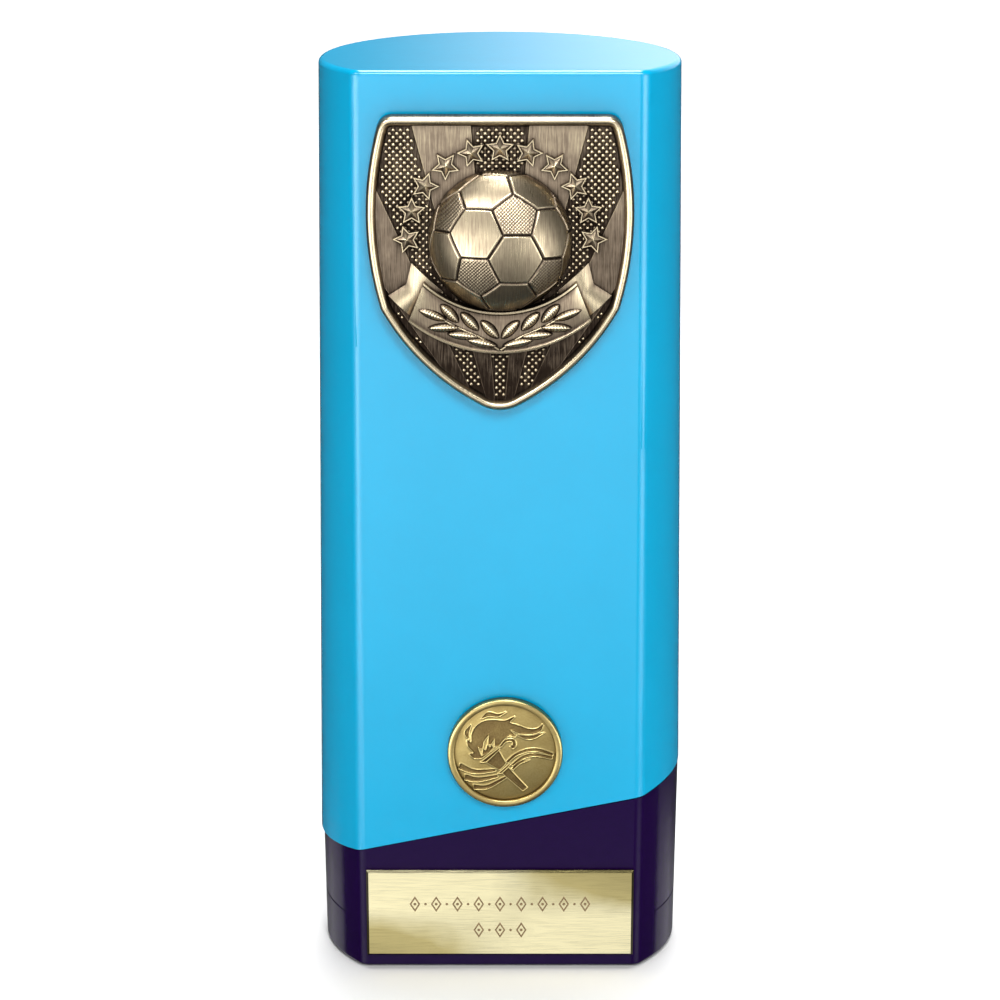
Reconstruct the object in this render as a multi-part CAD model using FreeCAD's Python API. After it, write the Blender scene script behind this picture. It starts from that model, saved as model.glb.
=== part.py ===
import FreeCAD, Part

import math
import os

# Column trophy: a hollow moulded column on a darker cup-shaped base, with a
# cast shield badge, a round centre disc and an engraving plate on its flat front.
#
# Units are millimetres and degrees. +Z is up, the flat front faces -Y, and the
# origin is on the resting face, on the axis that the column's ellipse is drawn about.

Vector = FreeCAD.Vector
Rotation = FreeCAD.Rotation
Placement = FreeCAD.Placement

# ---------------------------------------------------------------- driving dimensions

TOTAL_HEIGHT = 200.0

# Plan outline of the column at its top: an ellipse with its front cut flat.
TOP_HALF_WIDTH = 38.0
TOP_FRONT_AXIS = 31.1
TOP_BACK_AXIS = 36.5
TOP_FRONT_PLANE = 19.2
SHELL_DRAFT = 0.8
FRONT_CORNER_RADIUS = 3.0
TOP_EDGE_RADIUS = 1.0
SHELL_WALL = 2.2
SHELL_ROOF = 2.6

# The two colours meet on a plane that rises towards +X.
SEAM_HEIGHT = 35.0
SEAM_ANGLE = 11.54
SEAM_GAP = 0.35

# The base is a little smaller than the shell and narrows towards the table.
BASE_STEP = 0.15
BASE_DRAFT = 0.66
BASE_WALL = 3.7
BASE_FLOOR = 2.6
BASE_FOOT_RADIUS = 0.6
GROOVE_HEIGHT = 11.5
GROOVE_WIDTH = 0.4
GROOVE_DEPTH = 0.15

# Locating tongue of the base inside the shell.
TONGUE_HEIGHT = 6.0
TONGUE_CLEARANCE = 0.15

# Felt under the base: it stands a little proud of the base's rim.
FELT_THICKNESS = 1.0
FELT_RECESS = 0.6
FELT_MARGIN = 2.0
FELT_CLEARANCE = 0.15

# Screw joints between base and shell.
TOWER_PLACES = ((-23.0, -9.0), (23.0, -9.0), (-20.0, 20.0), (20.0, 20.0))
TOWER_RADIUS = 4.5
TOWER_TOP = 30.0
TOWER_WEB = 4.0
BOSS_RADIUS = 4.0
BOSS_TOP = 78.0
GUSSET_BOTTOM = 54.0
GUSSET_THICKNESS = 1.6
COUNTERBORE_RADIUS = 3.5
CLEAR_HOLE_RADIUS = 1.7
PILOT_RADIUS = 1.5
PILOT_DEPTH = 14.0
SCREW_RADIUS = 1.45
SCREW_LENGTH = 14.0
SCREW_HEAD_RADIUS = 2.8
SCREW_HEAD_HEIGHT = 2.2
SOCKET_RADIUS = 1.0
SOCKET_DEPTH = 1.2
WASHER_RADIUS = 3.2
WASHER_THICKNESS = 0.5

# Cast-iron weight on the base's floor.
BALLAST_SIZE = (36.0, 28.0, 16.0)
BALLAST_CENTRE_Y = -1.0
BALLAST_PAD_THICKNESS = 1.0
BALLAST_PAD_MARGIN = 1.0
BALLAST_SCREW_X = 11.0
BALLAST_SCREW_DEPTH = 8.0
BALLAST_HOLE_DEPTH = 10.0
BALLAST_EDGE_RADIUS = 2.0
COUNTERSINK_HEIGHT = 1.6
COUNTERSINK_CLEARANCE = 0.2

# Shield badge, drawn about the centre of its ball.
BADGE_HEIGHT_ON_FACE = 165.1
BADGE_TOP = 26.2
BADGE_TOP_HALF_WIDTH = 24.4
BADGE_WAIST = (27.5, 3.5)
BADGE_SHOULDER = (24.7, -14.0)
BADGE_FLANK = (14.2, -27.3)
BADGE_TIP_SIDE = (4.6, -34.1)
BADGE_TIP = -35.5
BADGE_CORNER_RADIUS = 1.6
BADGE_FIELD = 2.2
BADGE_RIM = 3.6
BADGE_RIM_WIDTH = 2.3
BALL_RADIUS = 14.1
BALL_RISE = 9.0
BALL_EDGE_LIFT = 1.0
STAR_COUNT = 11
STAR_RING_RADIUS = 18.6
STAR_RADIUS = 2.6
STAR_INNER_SHARE = 0.46
STAR_SPAN = 166.0
STAR_TOP = 3.7
RIBBON_TOP_END = (15.6, -8.4)
RIBBON_TOP_MIDDLE = -15.0
RIBBON_BOTTOM_END = (18.9, -16.8)
RIBBON_BOTTOM_MIDDLE = -23.6
RIBBON_TAIL = ((16.4, -9.6), (18.3, -5.0), (20.0, -8.6), (23.0, -11.4), (19.2, -14.7))
RIBBON_LEVEL = 5.0
TAIL_LEVEL = 3.6
BADGE_PAD_THICKNESS = 1.0
BADGE_PAD_MARGIN = 2.5

# Round centre disc.
DISC_CENTRE = (1.1, 52.2)
DISC_RADIUS = 12.5
DISC_THICKNESS = 1.8
DISC_EDGE_RADIUS = 0.3
DISC_RIM_WIDTH = 1.6
DISC_FIELD = 1.2
DISC_PAD_THICKNESS = 0.4
DISC_PAD_RADIUS = 11.5

# Engraving plate on the base's front.
PLATE_SIZE = (59.0, 20.6)
PLATE_CENTRE_HEIGHT = 13.7
PLATE_THICKNESS = 1.0
PLATE_BEVEL = 0.5
PLATE_PAD_THICKNESS = 0.25
PLATE_PAD_MARGIN = 1.0

# ---------------------------------------------------------------- derived sizes

SHELL_SLOPE = math.tan(math.radians(SHELL_DRAFT))
BASE_SLOPE = math.tan(math.radians(BASE_DRAFT))
SEAM_SLOPE = math.tan(math.radians(SEAM_ANGLE))
BASE_BOTTOM = FELT_THICKNESS - FELT_RECESS
FLOOR_TOP = FELT_THICKNESS + BASE_FLOOR
TOOL_SIZE = 300.0
SEAM_HIGH = SEAM_HEIGHT + SEAM_SLOPE * TOP_HALF_WIDTH
LOFT_BOTTOM = SEAM_HEIGHT - SEAM_SLOPE * TOP_HALF_WIDTH - 8.0
BASE_LOFT_TOP = SEAM_HIGH + TONGUE_HEIGHT + 8.0


# ---------------------------------------------------------------- the column's plan

def shell_growth(height):
    """How far the shell's outline has grown at a height, from its size at the top."""
    return SHELL_SLOPE * (TOTAL_HEIGHT - height)


def base_growth(height):
    """The same for the base, which steps in at the seam and narrows downwards."""
    return shell_growth(SEAM_HIGH) - BASE_STEP - BASE_SLOPE * (SEAM_HIGH - height)


def plan_outline(growth, height):
    """Closed outline: a flat front, and one elliptical sweep from corner to corner."""
    half_width = TOP_HALF_WIDTH + growth
    front_axis = TOP_FRONT_AXIS + growth
    back_axis = TOP_BACK_AXIS + growth
    front_plane = TOP_FRONT_PLANE + growth
    corner_angle = math.asin(front_plane / front_axis)
    corner_x = half_width * math.cos(corner_angle)
    centre = Vector(0, 0, height)
    front_ellipse = Part.Ellipse(centre, half_width, front_axis)
    back_ellipse = Part.Ellipse(centre, half_width, back_axis)
    right_side = Part.ArcOfEllipse(front_ellipse, -corner_angle, 0).toShape()
    back = Part.ArcOfEllipse(back_ellipse, 0, math.pi).toShape()
    left_side = Part.ArcOfEllipse(front_ellipse, math.pi, math.pi + corner_angle).toShape()
    left_corner = Vector(-corner_x, -front_plane, height)
    right_corner = Vector(corner_x, -front_plane, height)
    front = Part.makeLine(left_corner, right_corner)
    return Part.Wire([right_side, back, left_side, front])


def drafted_solid(growth_at, inset, bottom, top):
    """Solid between two heights whose walls follow growth_at, set in by inset."""
    low = plan_outline(growth_at(bottom) - inset, bottom)
    high = plan_outline(growth_at(top) - inset, top)
    return Part.makeLoft([low, high], True, True)


def front_corner_edges(solid):
    """The two upright edges where the flat front meets the curved sides."""
    edges = []
    for edge in solid.Edges:
        first = edge.Vertexes[0].Point
        last = edge.Vertexes[-1].Point
        upright = abs(first.z - last.z) > 5
        if upright and first.y < -TOP_FRONT_PLANE / 2:
            edges.append(edge)
    return edges


def edges_at_height(solid, height):
    """Every edge that lies in the horizontal plane at this height."""
    edges = []
    for edge in solid.Edges:
        box = edge.BoundBox
        if abs(box.ZMin - height) < 0.01 and abs(box.ZMax - height) < 0.01:
            edges.append(edge)
    return edges


def below_seam(offset):
    """A block that fills everything under the seam plane, moved along Z by offset."""
    block = Part.makeBox(TOOL_SIZE, TOOL_SIZE, TOOL_SIZE)
    block.translate(Vector(-TOOL_SIZE / 2, -TOOL_SIZE / 2, -TOOL_SIZE))
    turn = Rotation(Vector(0, 1, 0), -SEAM_ANGLE)
    block.Placement = Placement(Vector(0, 0, SEAM_HEIGHT + offset), turn).multiply(block.Placement)
    return block


def upright_cylinder(place, radius, bottom, top):
    """Cylinder along Z at an (x, y) place."""
    return Part.makeCylinder(radius, top - bottom, Vector(place[0], place[1], bottom))


# ---------------------------------------------------------------- column and base

def make_gusset(place):
    """Rib from a boss out to the side wall, trimmed by the caller."""
    side = math.copysign(1, place[0])
    reach = TOP_HALF_WIDTH
    height = BOSS_TOP - GUSSET_BOTTOM
    rib = Part.makeBox(reach, GUSSET_THICKNESS, height)
    start_x = place[0] if side > 0 else place[0] - reach
    rib.translate(Vector(start_x, place[1] - GUSSET_THICKNESS / 2, GUSSET_BOTTOM))
    return rib


def make_column_shell():
    """Blue moulding: closed at the top, open at the slanted bottom, with four bosses."""
    outer = drafted_solid(shell_growth, 0, LOFT_BOTTOM, TOTAL_HEIGHT)
    outer = outer.makeFillet(FRONT_CORNER_RADIUS, front_corner_edges(outer))
    outer = outer.makeFillet(TOP_EDGE_RADIUS, edges_at_height(outer, TOTAL_HEIGHT))
    ceiling = TOTAL_HEIGHT - SHELL_ROOF
    cavity = drafted_solid(shell_growth, SHELL_WALL, LOFT_BOTTOM - 1, ceiling)
    shell = outer.cut(cavity).cut(below_seam(0))
    rib_limit = drafted_solid(shell_growth, SHELL_WALL / 2, GUSSET_BOTTOM - 1, BOSS_TOP + 1)
    for place in TOWER_PLACES:
        shell = shell.fuse(upright_cylinder(place, BOSS_RADIUS, TOWER_TOP, BOSS_TOP))
        shell = shell.fuse(make_gusset(place).common(rib_limit))
    for place in TOWER_PLACES:
        pilot = upright_cylinder(place, PILOT_RADIUS, TOWER_TOP, TOWER_TOP + PILOT_DEPTH)
        shell = shell.cut(pilot)
    return shell.removeSplitter()


def make_side_groove():
    """Fine witness groove round the base's curved sides and back, but not its front."""
    bottom = GROOVE_HEIGHT - GROOVE_WIDTH / 2
    top = GROOVE_HEIGHT + GROOVE_WIDTH / 2
    ring = drafted_solid(base_growth, -1, bottom, top)
    ring = ring.cut(drafted_solid(base_growth, GROOVE_DEPTH, bottom, top))
    behind_front = Part.makeBox(TOOL_SIZE, TOOL_SIZE, TOOL_SIZE)
    behind_front.translate(Vector(-TOOL_SIZE / 2, -TOP_FRONT_PLANE + FRONT_CORNER_RADIUS, 0))
    return ring.common(behind_front)


def make_base_cup():
    """Purple moulding: a cup with a slanted rim, a tongue that enters the shell,
    four screw towers and a shallow recess below for the felt."""
    body = drafted_solid(base_growth, 0, BASE_BOTTOM, BASE_LOFT_TOP)
    body = body.makeFillet(FRONT_CORNER_RADIUS, front_corner_edges(body))
    body = body.makeFillet(BASE_FOOT_RADIUS, edges_at_height(body, BASE_BOTTOM))
    body = body.common(below_seam(-SEAM_GAP))
    tongue_inset = SHELL_WALL + TONGUE_CLEARANCE
    tongue = drafted_solid(shell_growth, tongue_inset, LOFT_BOTTOM, BASE_LOFT_TOP)
    tongue = tongue.common(below_seam(TONGUE_HEIGHT))
    cup = body.fuse(tongue)
    cup = cup.cut(drafted_solid(base_growth, BASE_WALL, FLOOR_TOP, BASE_LOFT_TOP + 1))
    cup = cup.cut(drafted_solid(base_growth, FELT_MARGIN, BASE_BOTTOM - 1, FELT_THICKNESS))
    cup = cup.cut(make_side_groove())
    for place in TOWER_PLACES:
        cup = cup.fuse(upright_cylinder(place, TOWER_RADIUS, FELT_THICKNESS, TOWER_TOP))
    for place in TOWER_PLACES:
        web_bottom = TOWER_TOP - TOWER_WEB
        cup = cup.cut(upright_cylinder(place, COUNTERBORE_RADIUS, 0, web_bottom))
        cup = cup.cut(upright_cylinder(place, CLEAR_HOLE_RADIUS, web_bottom, TOWER_TOP))
    for x in (-BALLAST_SCREW_X, BALLAST_SCREW_X):
        place = (x, BALLAST_CENTRE_Y)
        cup = cup.cut(upright_cylinder(place, CLEAR_HOLE_RADIUS, 0, FLOOR_TOP))
        cup = cup.cut(make_countersink(place, CLEAR_HOLE_RADIUS, SCREW_HEAD_RADIUS
                                      + COUNTERSINK_CLEARANCE))
    return cup.removeSplitter()


def make_countersink(place, small_radius, large_radius):
    """Cone that opens downwards at the base's underside."""
    bottom = Vector(place[0], place[1], FELT_THICKNESS)
    return Part.makeCone(large_radius, small_radius, COUNTERSINK_HEIGHT, bottom)


def make_felt_pad():
    """Felt glued into the recess under the base: the trophy stands on it."""
    return drafted_solid(base_growth, FELT_MARGIN + FELT_CLEARANCE, 0, FELT_THICKNESS)


# ---------------------------------------------------------------- hidden hardware

def make_assembly_screw(place):
    """Pan-head screw, put in from below, with a round drive recess."""
    seat = TOWER_TOP - TOWER_WEB - WASHER_THICKNESS
    shank = upright_cylinder(place, SCREW_RADIUS, seat, seat + SCREW_LENGTH)
    head = upright_cylinder(place, SCREW_HEAD_RADIUS, seat - SCREW_HEAD_HEIGHT, seat)
    head = head.makeFillet(SCREW_HEAD_HEIGHT / 4, edges_at_height(head, seat - SCREW_HEAD_HEIGHT))
    socket = upright_cylinder(place, SOCKET_RADIUS, seat - SCREW_HEAD_HEIGHT,
                              seat - SCREW_HEAD_HEIGHT + SOCKET_DEPTH)
    return head.fuse(shank).cut(socket).removeSplitter()


def make_washer(place):
    """Flat washer between a screw's head and its tower."""
    bottom = TOWER_TOP - TOWER_WEB - WASHER_THICKNESS
    top = TOWER_TOP - TOWER_WEB
    plate = upright_cylinder(place, WASHER_RADIUS, bottom, top)
    return plate.cut(upright_cylinder(place, CLEAR_HOLE_RADIUS, bottom, top))


def make_ballast_screw(x):
    """Countersunk screw up through the floor into the weight."""
    place = (x, BALLAST_CENTRE_Y)
    top = FLOOR_TOP + BALLAST_PAD_THICKNESS + BALLAST_SCREW_DEPTH
    shank = upright_cylinder(place, SCREW_RADIUS, FELT_THICKNESS, top)
    head = make_countersink(place, SCREW_RADIUS, SCREW_HEAD_RADIUS)
    socket = upright_cylinder(place, SOCKET_RADIUS, FELT_THICKNESS, FELT_THICKNESS + SOCKET_DEPTH)
    return head.fuse(shank).cut(socket).removeSplitter()


def ballast_box(margin, bottom, height):
    """Box on the weight's footprint, set in by margin."""
    width = BALLAST_SIZE[0] - 2 * margin
    depth = BALLAST_SIZE[1] - 2 * margin
    box = Part.makeBox(width, depth, height)
    box.translate(Vector(-width / 2, BALLAST_CENTRE_Y - depth / 2, bottom))
    return box


def make_ballast_block():
    """Cast-iron weight with two pilot holes and eased upright edges."""
    bottom = FLOOR_TOP + BALLAST_PAD_THICKNESS
    block = ballast_box(0, bottom, BALLAST_SIZE[2])
    upright = [edge for edge in block.Edges if edge.BoundBox.ZLength > 1]
    block = block.makeFillet(BALLAST_EDGE_RADIUS, upright)
    for x in (-BALLAST_SCREW_X, BALLAST_SCREW_X):
        place = (x, BALLAST_CENTRE_Y)
        top = bottom + BALLAST_HOLE_DEPTH
        hole = upright_cylinder(place, PILOT_RADIUS, bottom, top)
        block = block.cut(hole)
    return block


def make_ballast_pad():
    """Foam sheet under the weight that stops it rattling."""
    pad = ballast_box(BALLAST_PAD_MARGIN, FLOOR_TOP, BALLAST_PAD_THICKNESS)
    for x in (-BALLAST_SCREW_X, BALLAST_SCREW_X):
        place = (x, BALLAST_CENTRE_Y)
        pad = pad.cut(upright_cylinder(place, CLEAR_HOLE_RADIUS, 0, TOTAL_HEIGHT))
    return pad


# ---------------------------------------------------------------- things on the front

def on_shell_front(shape, x, height):
    """Lay a shape on the column's front: its x to the right, its y up the face,
    its z out of the face."""
    place = Vector(x, -TOP_FRONT_PLANE - shell_growth(height), height)
    lay = Placement(place, Rotation(Vector(1, 0, 0), 90 - SHELL_DRAFT))
    shape.Placement = lay.multiply(shape.Placement)
    return shape


def on_base_front(shape, x, height):
    """The same for the base's front, which leans the other way."""
    place = Vector(x, -TOP_FRONT_PLANE - base_growth(height), height)
    lay = Placement(place, Rotation(Vector(1, 0, 0), 90 + BASE_DRAFT))
    shape.Placement = lay.multiply(shape.Placement)
    return shape


def raised(wire, bottom, top):
    """Prism on a closed flat outline, from one level to another."""
    prism = Part.Face(wire).extrude(Vector(0, 0, top - bottom))
    prism.translate(Vector(0, 0, bottom))
    return prism


def mirrored_arc(first, middle, last):
    """Arc through three flat points, and its mirror image in x."""
    points = [Vector(p[0], p[1], 0) for p in (first, middle, last)]
    mirror = [Vector(-p.x, p.y, 0) for p in points]
    return [Part.Arc(*points).toShape(), Part.Arc(*mirror).toShape()]


def shield_wire():
    """Outline of the shield: straight top, bowed sides and a rounded point."""
    top_corner = (BADGE_TOP_HALF_WIDTH, BADGE_TOP)
    upper = mirrored_arc(top_corner, BADGE_WAIST, BADGE_SHOULDER)
    lower = mirrored_arc(BADGE_SHOULDER, BADGE_FLANK, BADGE_TIP_SIDE)
    top = Part.makeLine(Vector(-BADGE_TOP_HALF_WIDTH, BADGE_TOP, 0), Vector(*top_corner, 0))
    tip_right = Vector(BADGE_TIP_SIDE[0], BADGE_TIP_SIDE[1], 0)
    tip_left = Vector(-BADGE_TIP_SIDE[0], BADGE_TIP_SIDE[1], 0)
    tip = Part.Arc(tip_right, Vector(0, BADGE_TIP, 0), tip_left).toShape()
    return Part.Wire([top, upper[0], lower[0], tip, lower[1], upper[1]])


def top_corner_edges(prism):
    """The shield's two upright edges at the ends of its straight top."""
    edges = []
    for edge in prism.Edges:
        box = edge.BoundBox
        if box.ZLength > 0.1 and box.XLength < 0.01 and box.YMin > BADGE_TOP - 0.01:
            edges.append(edge)
    return edges


def make_ball():
    """Half ball, flattened front to back, as it is cast in relief."""
    squash = FreeCAD.Matrix()
    squash.scale(1, 1, (BALL_RISE - BALL_EDGE_LIFT) / BALL_RADIUS)
    dome = Part.makeSphere(BALL_RADIUS, Vector(0, 0, 0), Vector(0, 0, 1), 0, 90)
    dome = dome.transformGeometry(squash)
    dome.translate(Vector(0, 0, BADGE_FIELD + BALL_EDGE_LIFT))
    neck = Part.makeCylinder(BALL_RADIUS, BALL_EDGE_LIFT, Vector(0, 0, BADGE_FIELD))
    return dome.fuse(neck)


def make_star(angle):
    """Five-pointed star on the ring round the ball, pointing away from it."""
    points = []
    for step in range(10):
        radius = STAR_RADIUS if step % 2 == 0 else STAR_RADIUS * STAR_INNER_SHARE
        turn = angle + math.radians(36 * step)
        x = STAR_RING_RADIUS * math.cos(angle) + radius * math.cos(turn)
        y = STAR_RING_RADIUS * math.sin(angle) + radius * math.sin(turn)
        points.append(Vector(x, y, 0))
    points.append(points[0])
    return raised(Part.makePolygon(points), BADGE_FIELD, STAR_TOP)


def make_ribbon():
    """Curved band under the ball, with a folded tail at each end."""
    top_left = Vector(-RIBBON_TOP_END[0], RIBBON_TOP_END[1], 0)
    top_right = Vector(RIBBON_TOP_END[0], RIBBON_TOP_END[1], 0)
    bottom_left = Vector(-RIBBON_BOTTOM_END[0], RIBBON_BOTTOM_END[1], 0)
    bottom_right = Vector(RIBBON_BOTTOM_END[0], RIBBON_BOTTOM_END[1], 0)
    upper = Part.Arc(top_left, Vector(0, RIBBON_TOP_MIDDLE, 0), top_right).toShape()
    lower = Part.Arc(bottom_right, Vector(0, RIBBON_BOTTOM_MIDDLE, 0), bottom_left).toShape()
    right_end = Part.makeLine(top_right, bottom_right)
    left_end = Part.makeLine(bottom_left, top_left)
    ribbon = raised(Part.Wire([upper, right_end, lower, left_end]), BADGE_FIELD, RIBBON_LEVEL)
    for side in (-1, 1):
        points = [Vector(side * p[0], p[1], 0) for p in RIBBON_TAIL]
        tail = Part.makePolygon(points + [points[0]])
        ribbon = ribbon.fuse(raised(tail, BADGE_FIELD, TAIL_LEVEL))
    return ribbon


def make_shield_badge():
    """Cast shield: raised rim, sunk field, ball, ribbon and an arc of stars."""
    plate = raised(shield_wire(), 0, BADGE_RIM)
    plate = plate.makeFillet(BADGE_CORNER_RADIUS, top_corner_edges(plate))
    inner = shield_wire().makeOffset2D(-BADGE_RIM_WIDTH)
    badge = plate.cut(raised(inner, BADGE_FIELD, BADGE_RIM + 1))
    badge = badge.fuse(make_ribbon())
    badge = badge.fuse(make_ball())
    gap = STAR_SPAN / (STAR_COUNT - 1)
    for index in range(STAR_COUNT):
        angle = math.radians(90 - STAR_SPAN / 2 + gap * index)
        badge = badge.fuse(make_star(angle))
    badge.translate(Vector(0, 0, BADGE_PAD_THICKNESS))
    return on_shell_front(badge.removeSplitter(), 0, BADGE_HEIGHT_ON_FACE)


def make_badge_pad():
    """Foam tape between the shield and the column."""
    pad = raised(shield_wire().makeOffset2D(-BADGE_PAD_MARGIN), 0, BADGE_PAD_THICKNESS)
    return on_shell_front(pad, 0, BADGE_HEIGHT_ON_FACE)


def make_centre_disc():
    """Round insert with a raised rim."""
    disc = Part.makeCylinder(DISC_RADIUS, DISC_THICKNESS)
    disc = disc.makeFillet(DISC_EDGE_RADIUS, edges_at_height(disc, DISC_THICKNESS))
    sunk = Part.makeCylinder(DISC_RADIUS - DISC_RIM_WIDTH, 1, Vector(0, 0, DISC_FIELD))
    disc = disc.cut(sunk)
    disc.translate(Vector(0, 0, DISC_PAD_THICKNESS))
    return on_shell_front(disc, *DISC_CENTRE)


def make_disc_pad():
    """Round adhesive pad behind the disc."""
    return on_shell_front(Part.makeCylinder(DISC_PAD_RADIUS, DISC_PAD_THICKNESS), *DISC_CENTRE)


def front_rectangle(width, height, bottom, thickness):
    """Flat box centred on x and y."""
    box = Part.makeBox(width, height, thickness)
    box.translate(Vector(-width / 2, -height / 2, bottom))
    return box


def make_engraving_plate():
    """Polished plate with bevelled edges."""
    plate = front_rectangle(*PLATE_SIZE, 0, PLATE_THICKNESS)
    plate = plate.makeChamfer(PLATE_BEVEL, edges_at_height(plate, PLATE_THICKNESS))
    plate.translate(Vector(0, 0, PLATE_PAD_THICKNESS))
    return on_base_front(plate, 0, PLATE_CENTRE_HEIGHT)


def make_plate_pad():
    """Adhesive sheet behind the engraving plate."""
    width = PLATE_SIZE[0] - 2 * PLATE_PAD_MARGIN
    height = PLATE_SIZE[1] - 2 * PLATE_PAD_MARGIN
    pad = front_rectangle(width, height, 0, PLATE_PAD_THICKNESS)
    return on_base_front(pad, 0, PLATE_CENTRE_HEIGHT)


# ---------------------------------------------------------------- write every sub-part

def build_parts():
    """Every sub-part by name."""
    ballast_screws = [make_ballast_screw(x) for x in (-BALLAST_SCREW_X, BALLAST_SCREW_X)]
    return {
        "column_shell": make_column_shell(),
        "base_cup": make_base_cup(),
        "felt_pad": make_felt_pad(),
        "assembly_screws": Part.Compound([make_assembly_screw(p) for p in TOWER_PLACES]),
        "assembly_washers": Part.Compound([make_washer(p) for p in TOWER_PLACES]),
        "ballast_block": make_ballast_block(),
        "ballast_pad": make_ballast_pad(),
        "ballast_screws": Part.Compound(ballast_screws),
        "shield_badge": make_shield_badge(),
        "badge_pad": make_badge_pad(),
        "centre_disc": make_centre_disc(),
        "disc_pad": make_disc_pad(),
        "engraving_plate": make_engraving_plate(),
        "plate_pad": make_plate_pad(),
    }


os.makedirs("parts", exist_ok=True)
for name, shape in build_parts().items():
    shape.exportStep("parts/" + name + ".step")
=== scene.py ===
import itertools
import math

import bpy
import numpy as np
from mathutils import Matrix, Vector


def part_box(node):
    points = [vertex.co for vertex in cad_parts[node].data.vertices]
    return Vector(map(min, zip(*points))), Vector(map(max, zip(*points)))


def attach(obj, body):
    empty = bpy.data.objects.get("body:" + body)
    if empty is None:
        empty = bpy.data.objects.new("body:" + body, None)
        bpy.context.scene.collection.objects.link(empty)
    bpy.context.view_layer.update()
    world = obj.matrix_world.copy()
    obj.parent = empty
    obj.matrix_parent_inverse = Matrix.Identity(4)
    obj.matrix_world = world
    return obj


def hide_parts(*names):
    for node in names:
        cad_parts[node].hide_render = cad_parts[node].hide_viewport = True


bl_info = {
    "name": "Column trophy",
    "version": (1, 0, 0),
    "blender": (4, 5, 0),
    "location": "3D View > Sidebar > Trophy",
    "description": "Finishes the two-tone column trophy: mouldings, cast shield, disc and plate",
    "category": "Object",
}

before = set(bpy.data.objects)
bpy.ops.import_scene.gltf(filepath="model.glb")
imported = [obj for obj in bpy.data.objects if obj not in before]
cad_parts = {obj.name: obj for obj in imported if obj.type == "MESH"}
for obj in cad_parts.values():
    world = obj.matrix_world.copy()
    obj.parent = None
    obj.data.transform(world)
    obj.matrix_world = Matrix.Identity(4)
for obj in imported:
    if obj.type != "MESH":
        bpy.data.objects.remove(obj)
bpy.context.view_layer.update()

MM = 0.001

# The column's front leans back as it rises and the base's front leans the other way.
SHELL_LEAN = math.radians(0.8)
BASE_LEAN = math.radians(-0.66)

# The foam behind the shield reaches this far above and below the ball's centre.
PAD_ABOVE, PAD_BELOW = 23.7 * MM, 33.0 * MM

# Roughness of a struck or cast metal's darkened hollows and of its brushed high places.
HOLLOW_ROUGHNESS, BRUSHED_ROUGHNESS = 0.48, 0.26

# Distances from a football's middle to its panels and corners, in side lengths of a panel.
PENTAGON_DISTANCE, HEXAGON_DISTANCE, CORNER_DISTANCE = 2.327, 2.267, 2.478

# The football's turn in the relief, tipped back by 10 degrees.
BALL_TURN = Matrix.Rotation(math.radians(-10), 3, "X") @ Matrix(
    ((0.535, 0.729, -0.428), (-0.148, 0.579, 0.802), (0.832, -0.366, 0.417)))

# Area lights: place, target, size, watts, spread in degrees, and whether matt surfaces
# are lit by it too. The gleams give only highlights.
LIGHTS = {
    "key": ((0.12, -1.0, 0.85), (0, 0, 0.12), (0.5, 0.4), 10.2, 180, True),
    "gleam": ((-0.5, -0.75, 0.85), (0, 0, 0.16), (0.35, 0.35), 6.0, 180, False),
    "edge_gleam": ((0, -0.65, 1.9), (0, 0, 0.02), (0.8, 0.35), 3.0, 180, False),
    "overhead": ((0, 0.8, 3.0), (0, 0.8, 0), (1.0, 2.6), 47, 100, True),
}


# ------------------------------------------------------------------ colours and nodes

def srgb(code):
    """Linear colour, with alpha, of an sRGB hex value such as "#12a5e0"."""
    channels = [int(code[i:i + 2], 16) / 255 for i in (1, 3, 5)]
    linear = [c / 12.92 if c <= 0.04045 else ((c + 0.055) / 1.055) ** 2.4 for c in channels]
    return (*linear, 1.0)


def add_node(tree, kind, inputs=None, stops=(), **settings):
    """Add a shader node of a kind. Settings are its properties. Each input is a value, a
    socket, or a node for its first output. Stops are a colour ramp's positions and colours,
    or levels of grey, with its two ends first."""
    node = tree.nodes.new(kind)
    for name, value in settings.items():
        setattr(node, name, value)
    for index, (position, colour) in enumerate(stops):
        elements = node.color_ramp.elements
        stop = elements[index] if index < len(elements) else elements.new(position)
        stop.position = position
        stop.color = (colour, colour, colour, 1.0) if isinstance(colour, float) else colour
    for name, value in (inputs or {}).items():
        if isinstance(value, bpy.types.Node):
            value = value.outputs[0]
        if isinstance(value, bpy.types.NodeSocket):
            tree.links.new(value, node.inputs[name])
        else:
            node.inputs[name].default_value = value
    return node


def start_material(name):
    """New node material with only an output node; gives the material and its tree."""
    material = bpy.data.materials.new(name)
    material.use_nodes = True
    material.node_tree.nodes.clear()
    return material, material.node_tree


def finish_material(material, surface):
    """Join the last shader to the output; gives the material."""
    add_node(material.node_tree, "ShaderNodeOutputMaterial", {"Surface": surface})
    return material


def per_length(x, y, z):
    """Mapping scale that makes one unit of a pattern as long as this along each axis."""
    return (1 / x, 1 / y, 1 / z)


def darker(colour, share):
    """Colour with its channels multiplied."""
    return (*[channel * share for channel in colour[:3]], 1.0)


# ------------------------------------------------------------------ materials

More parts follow.
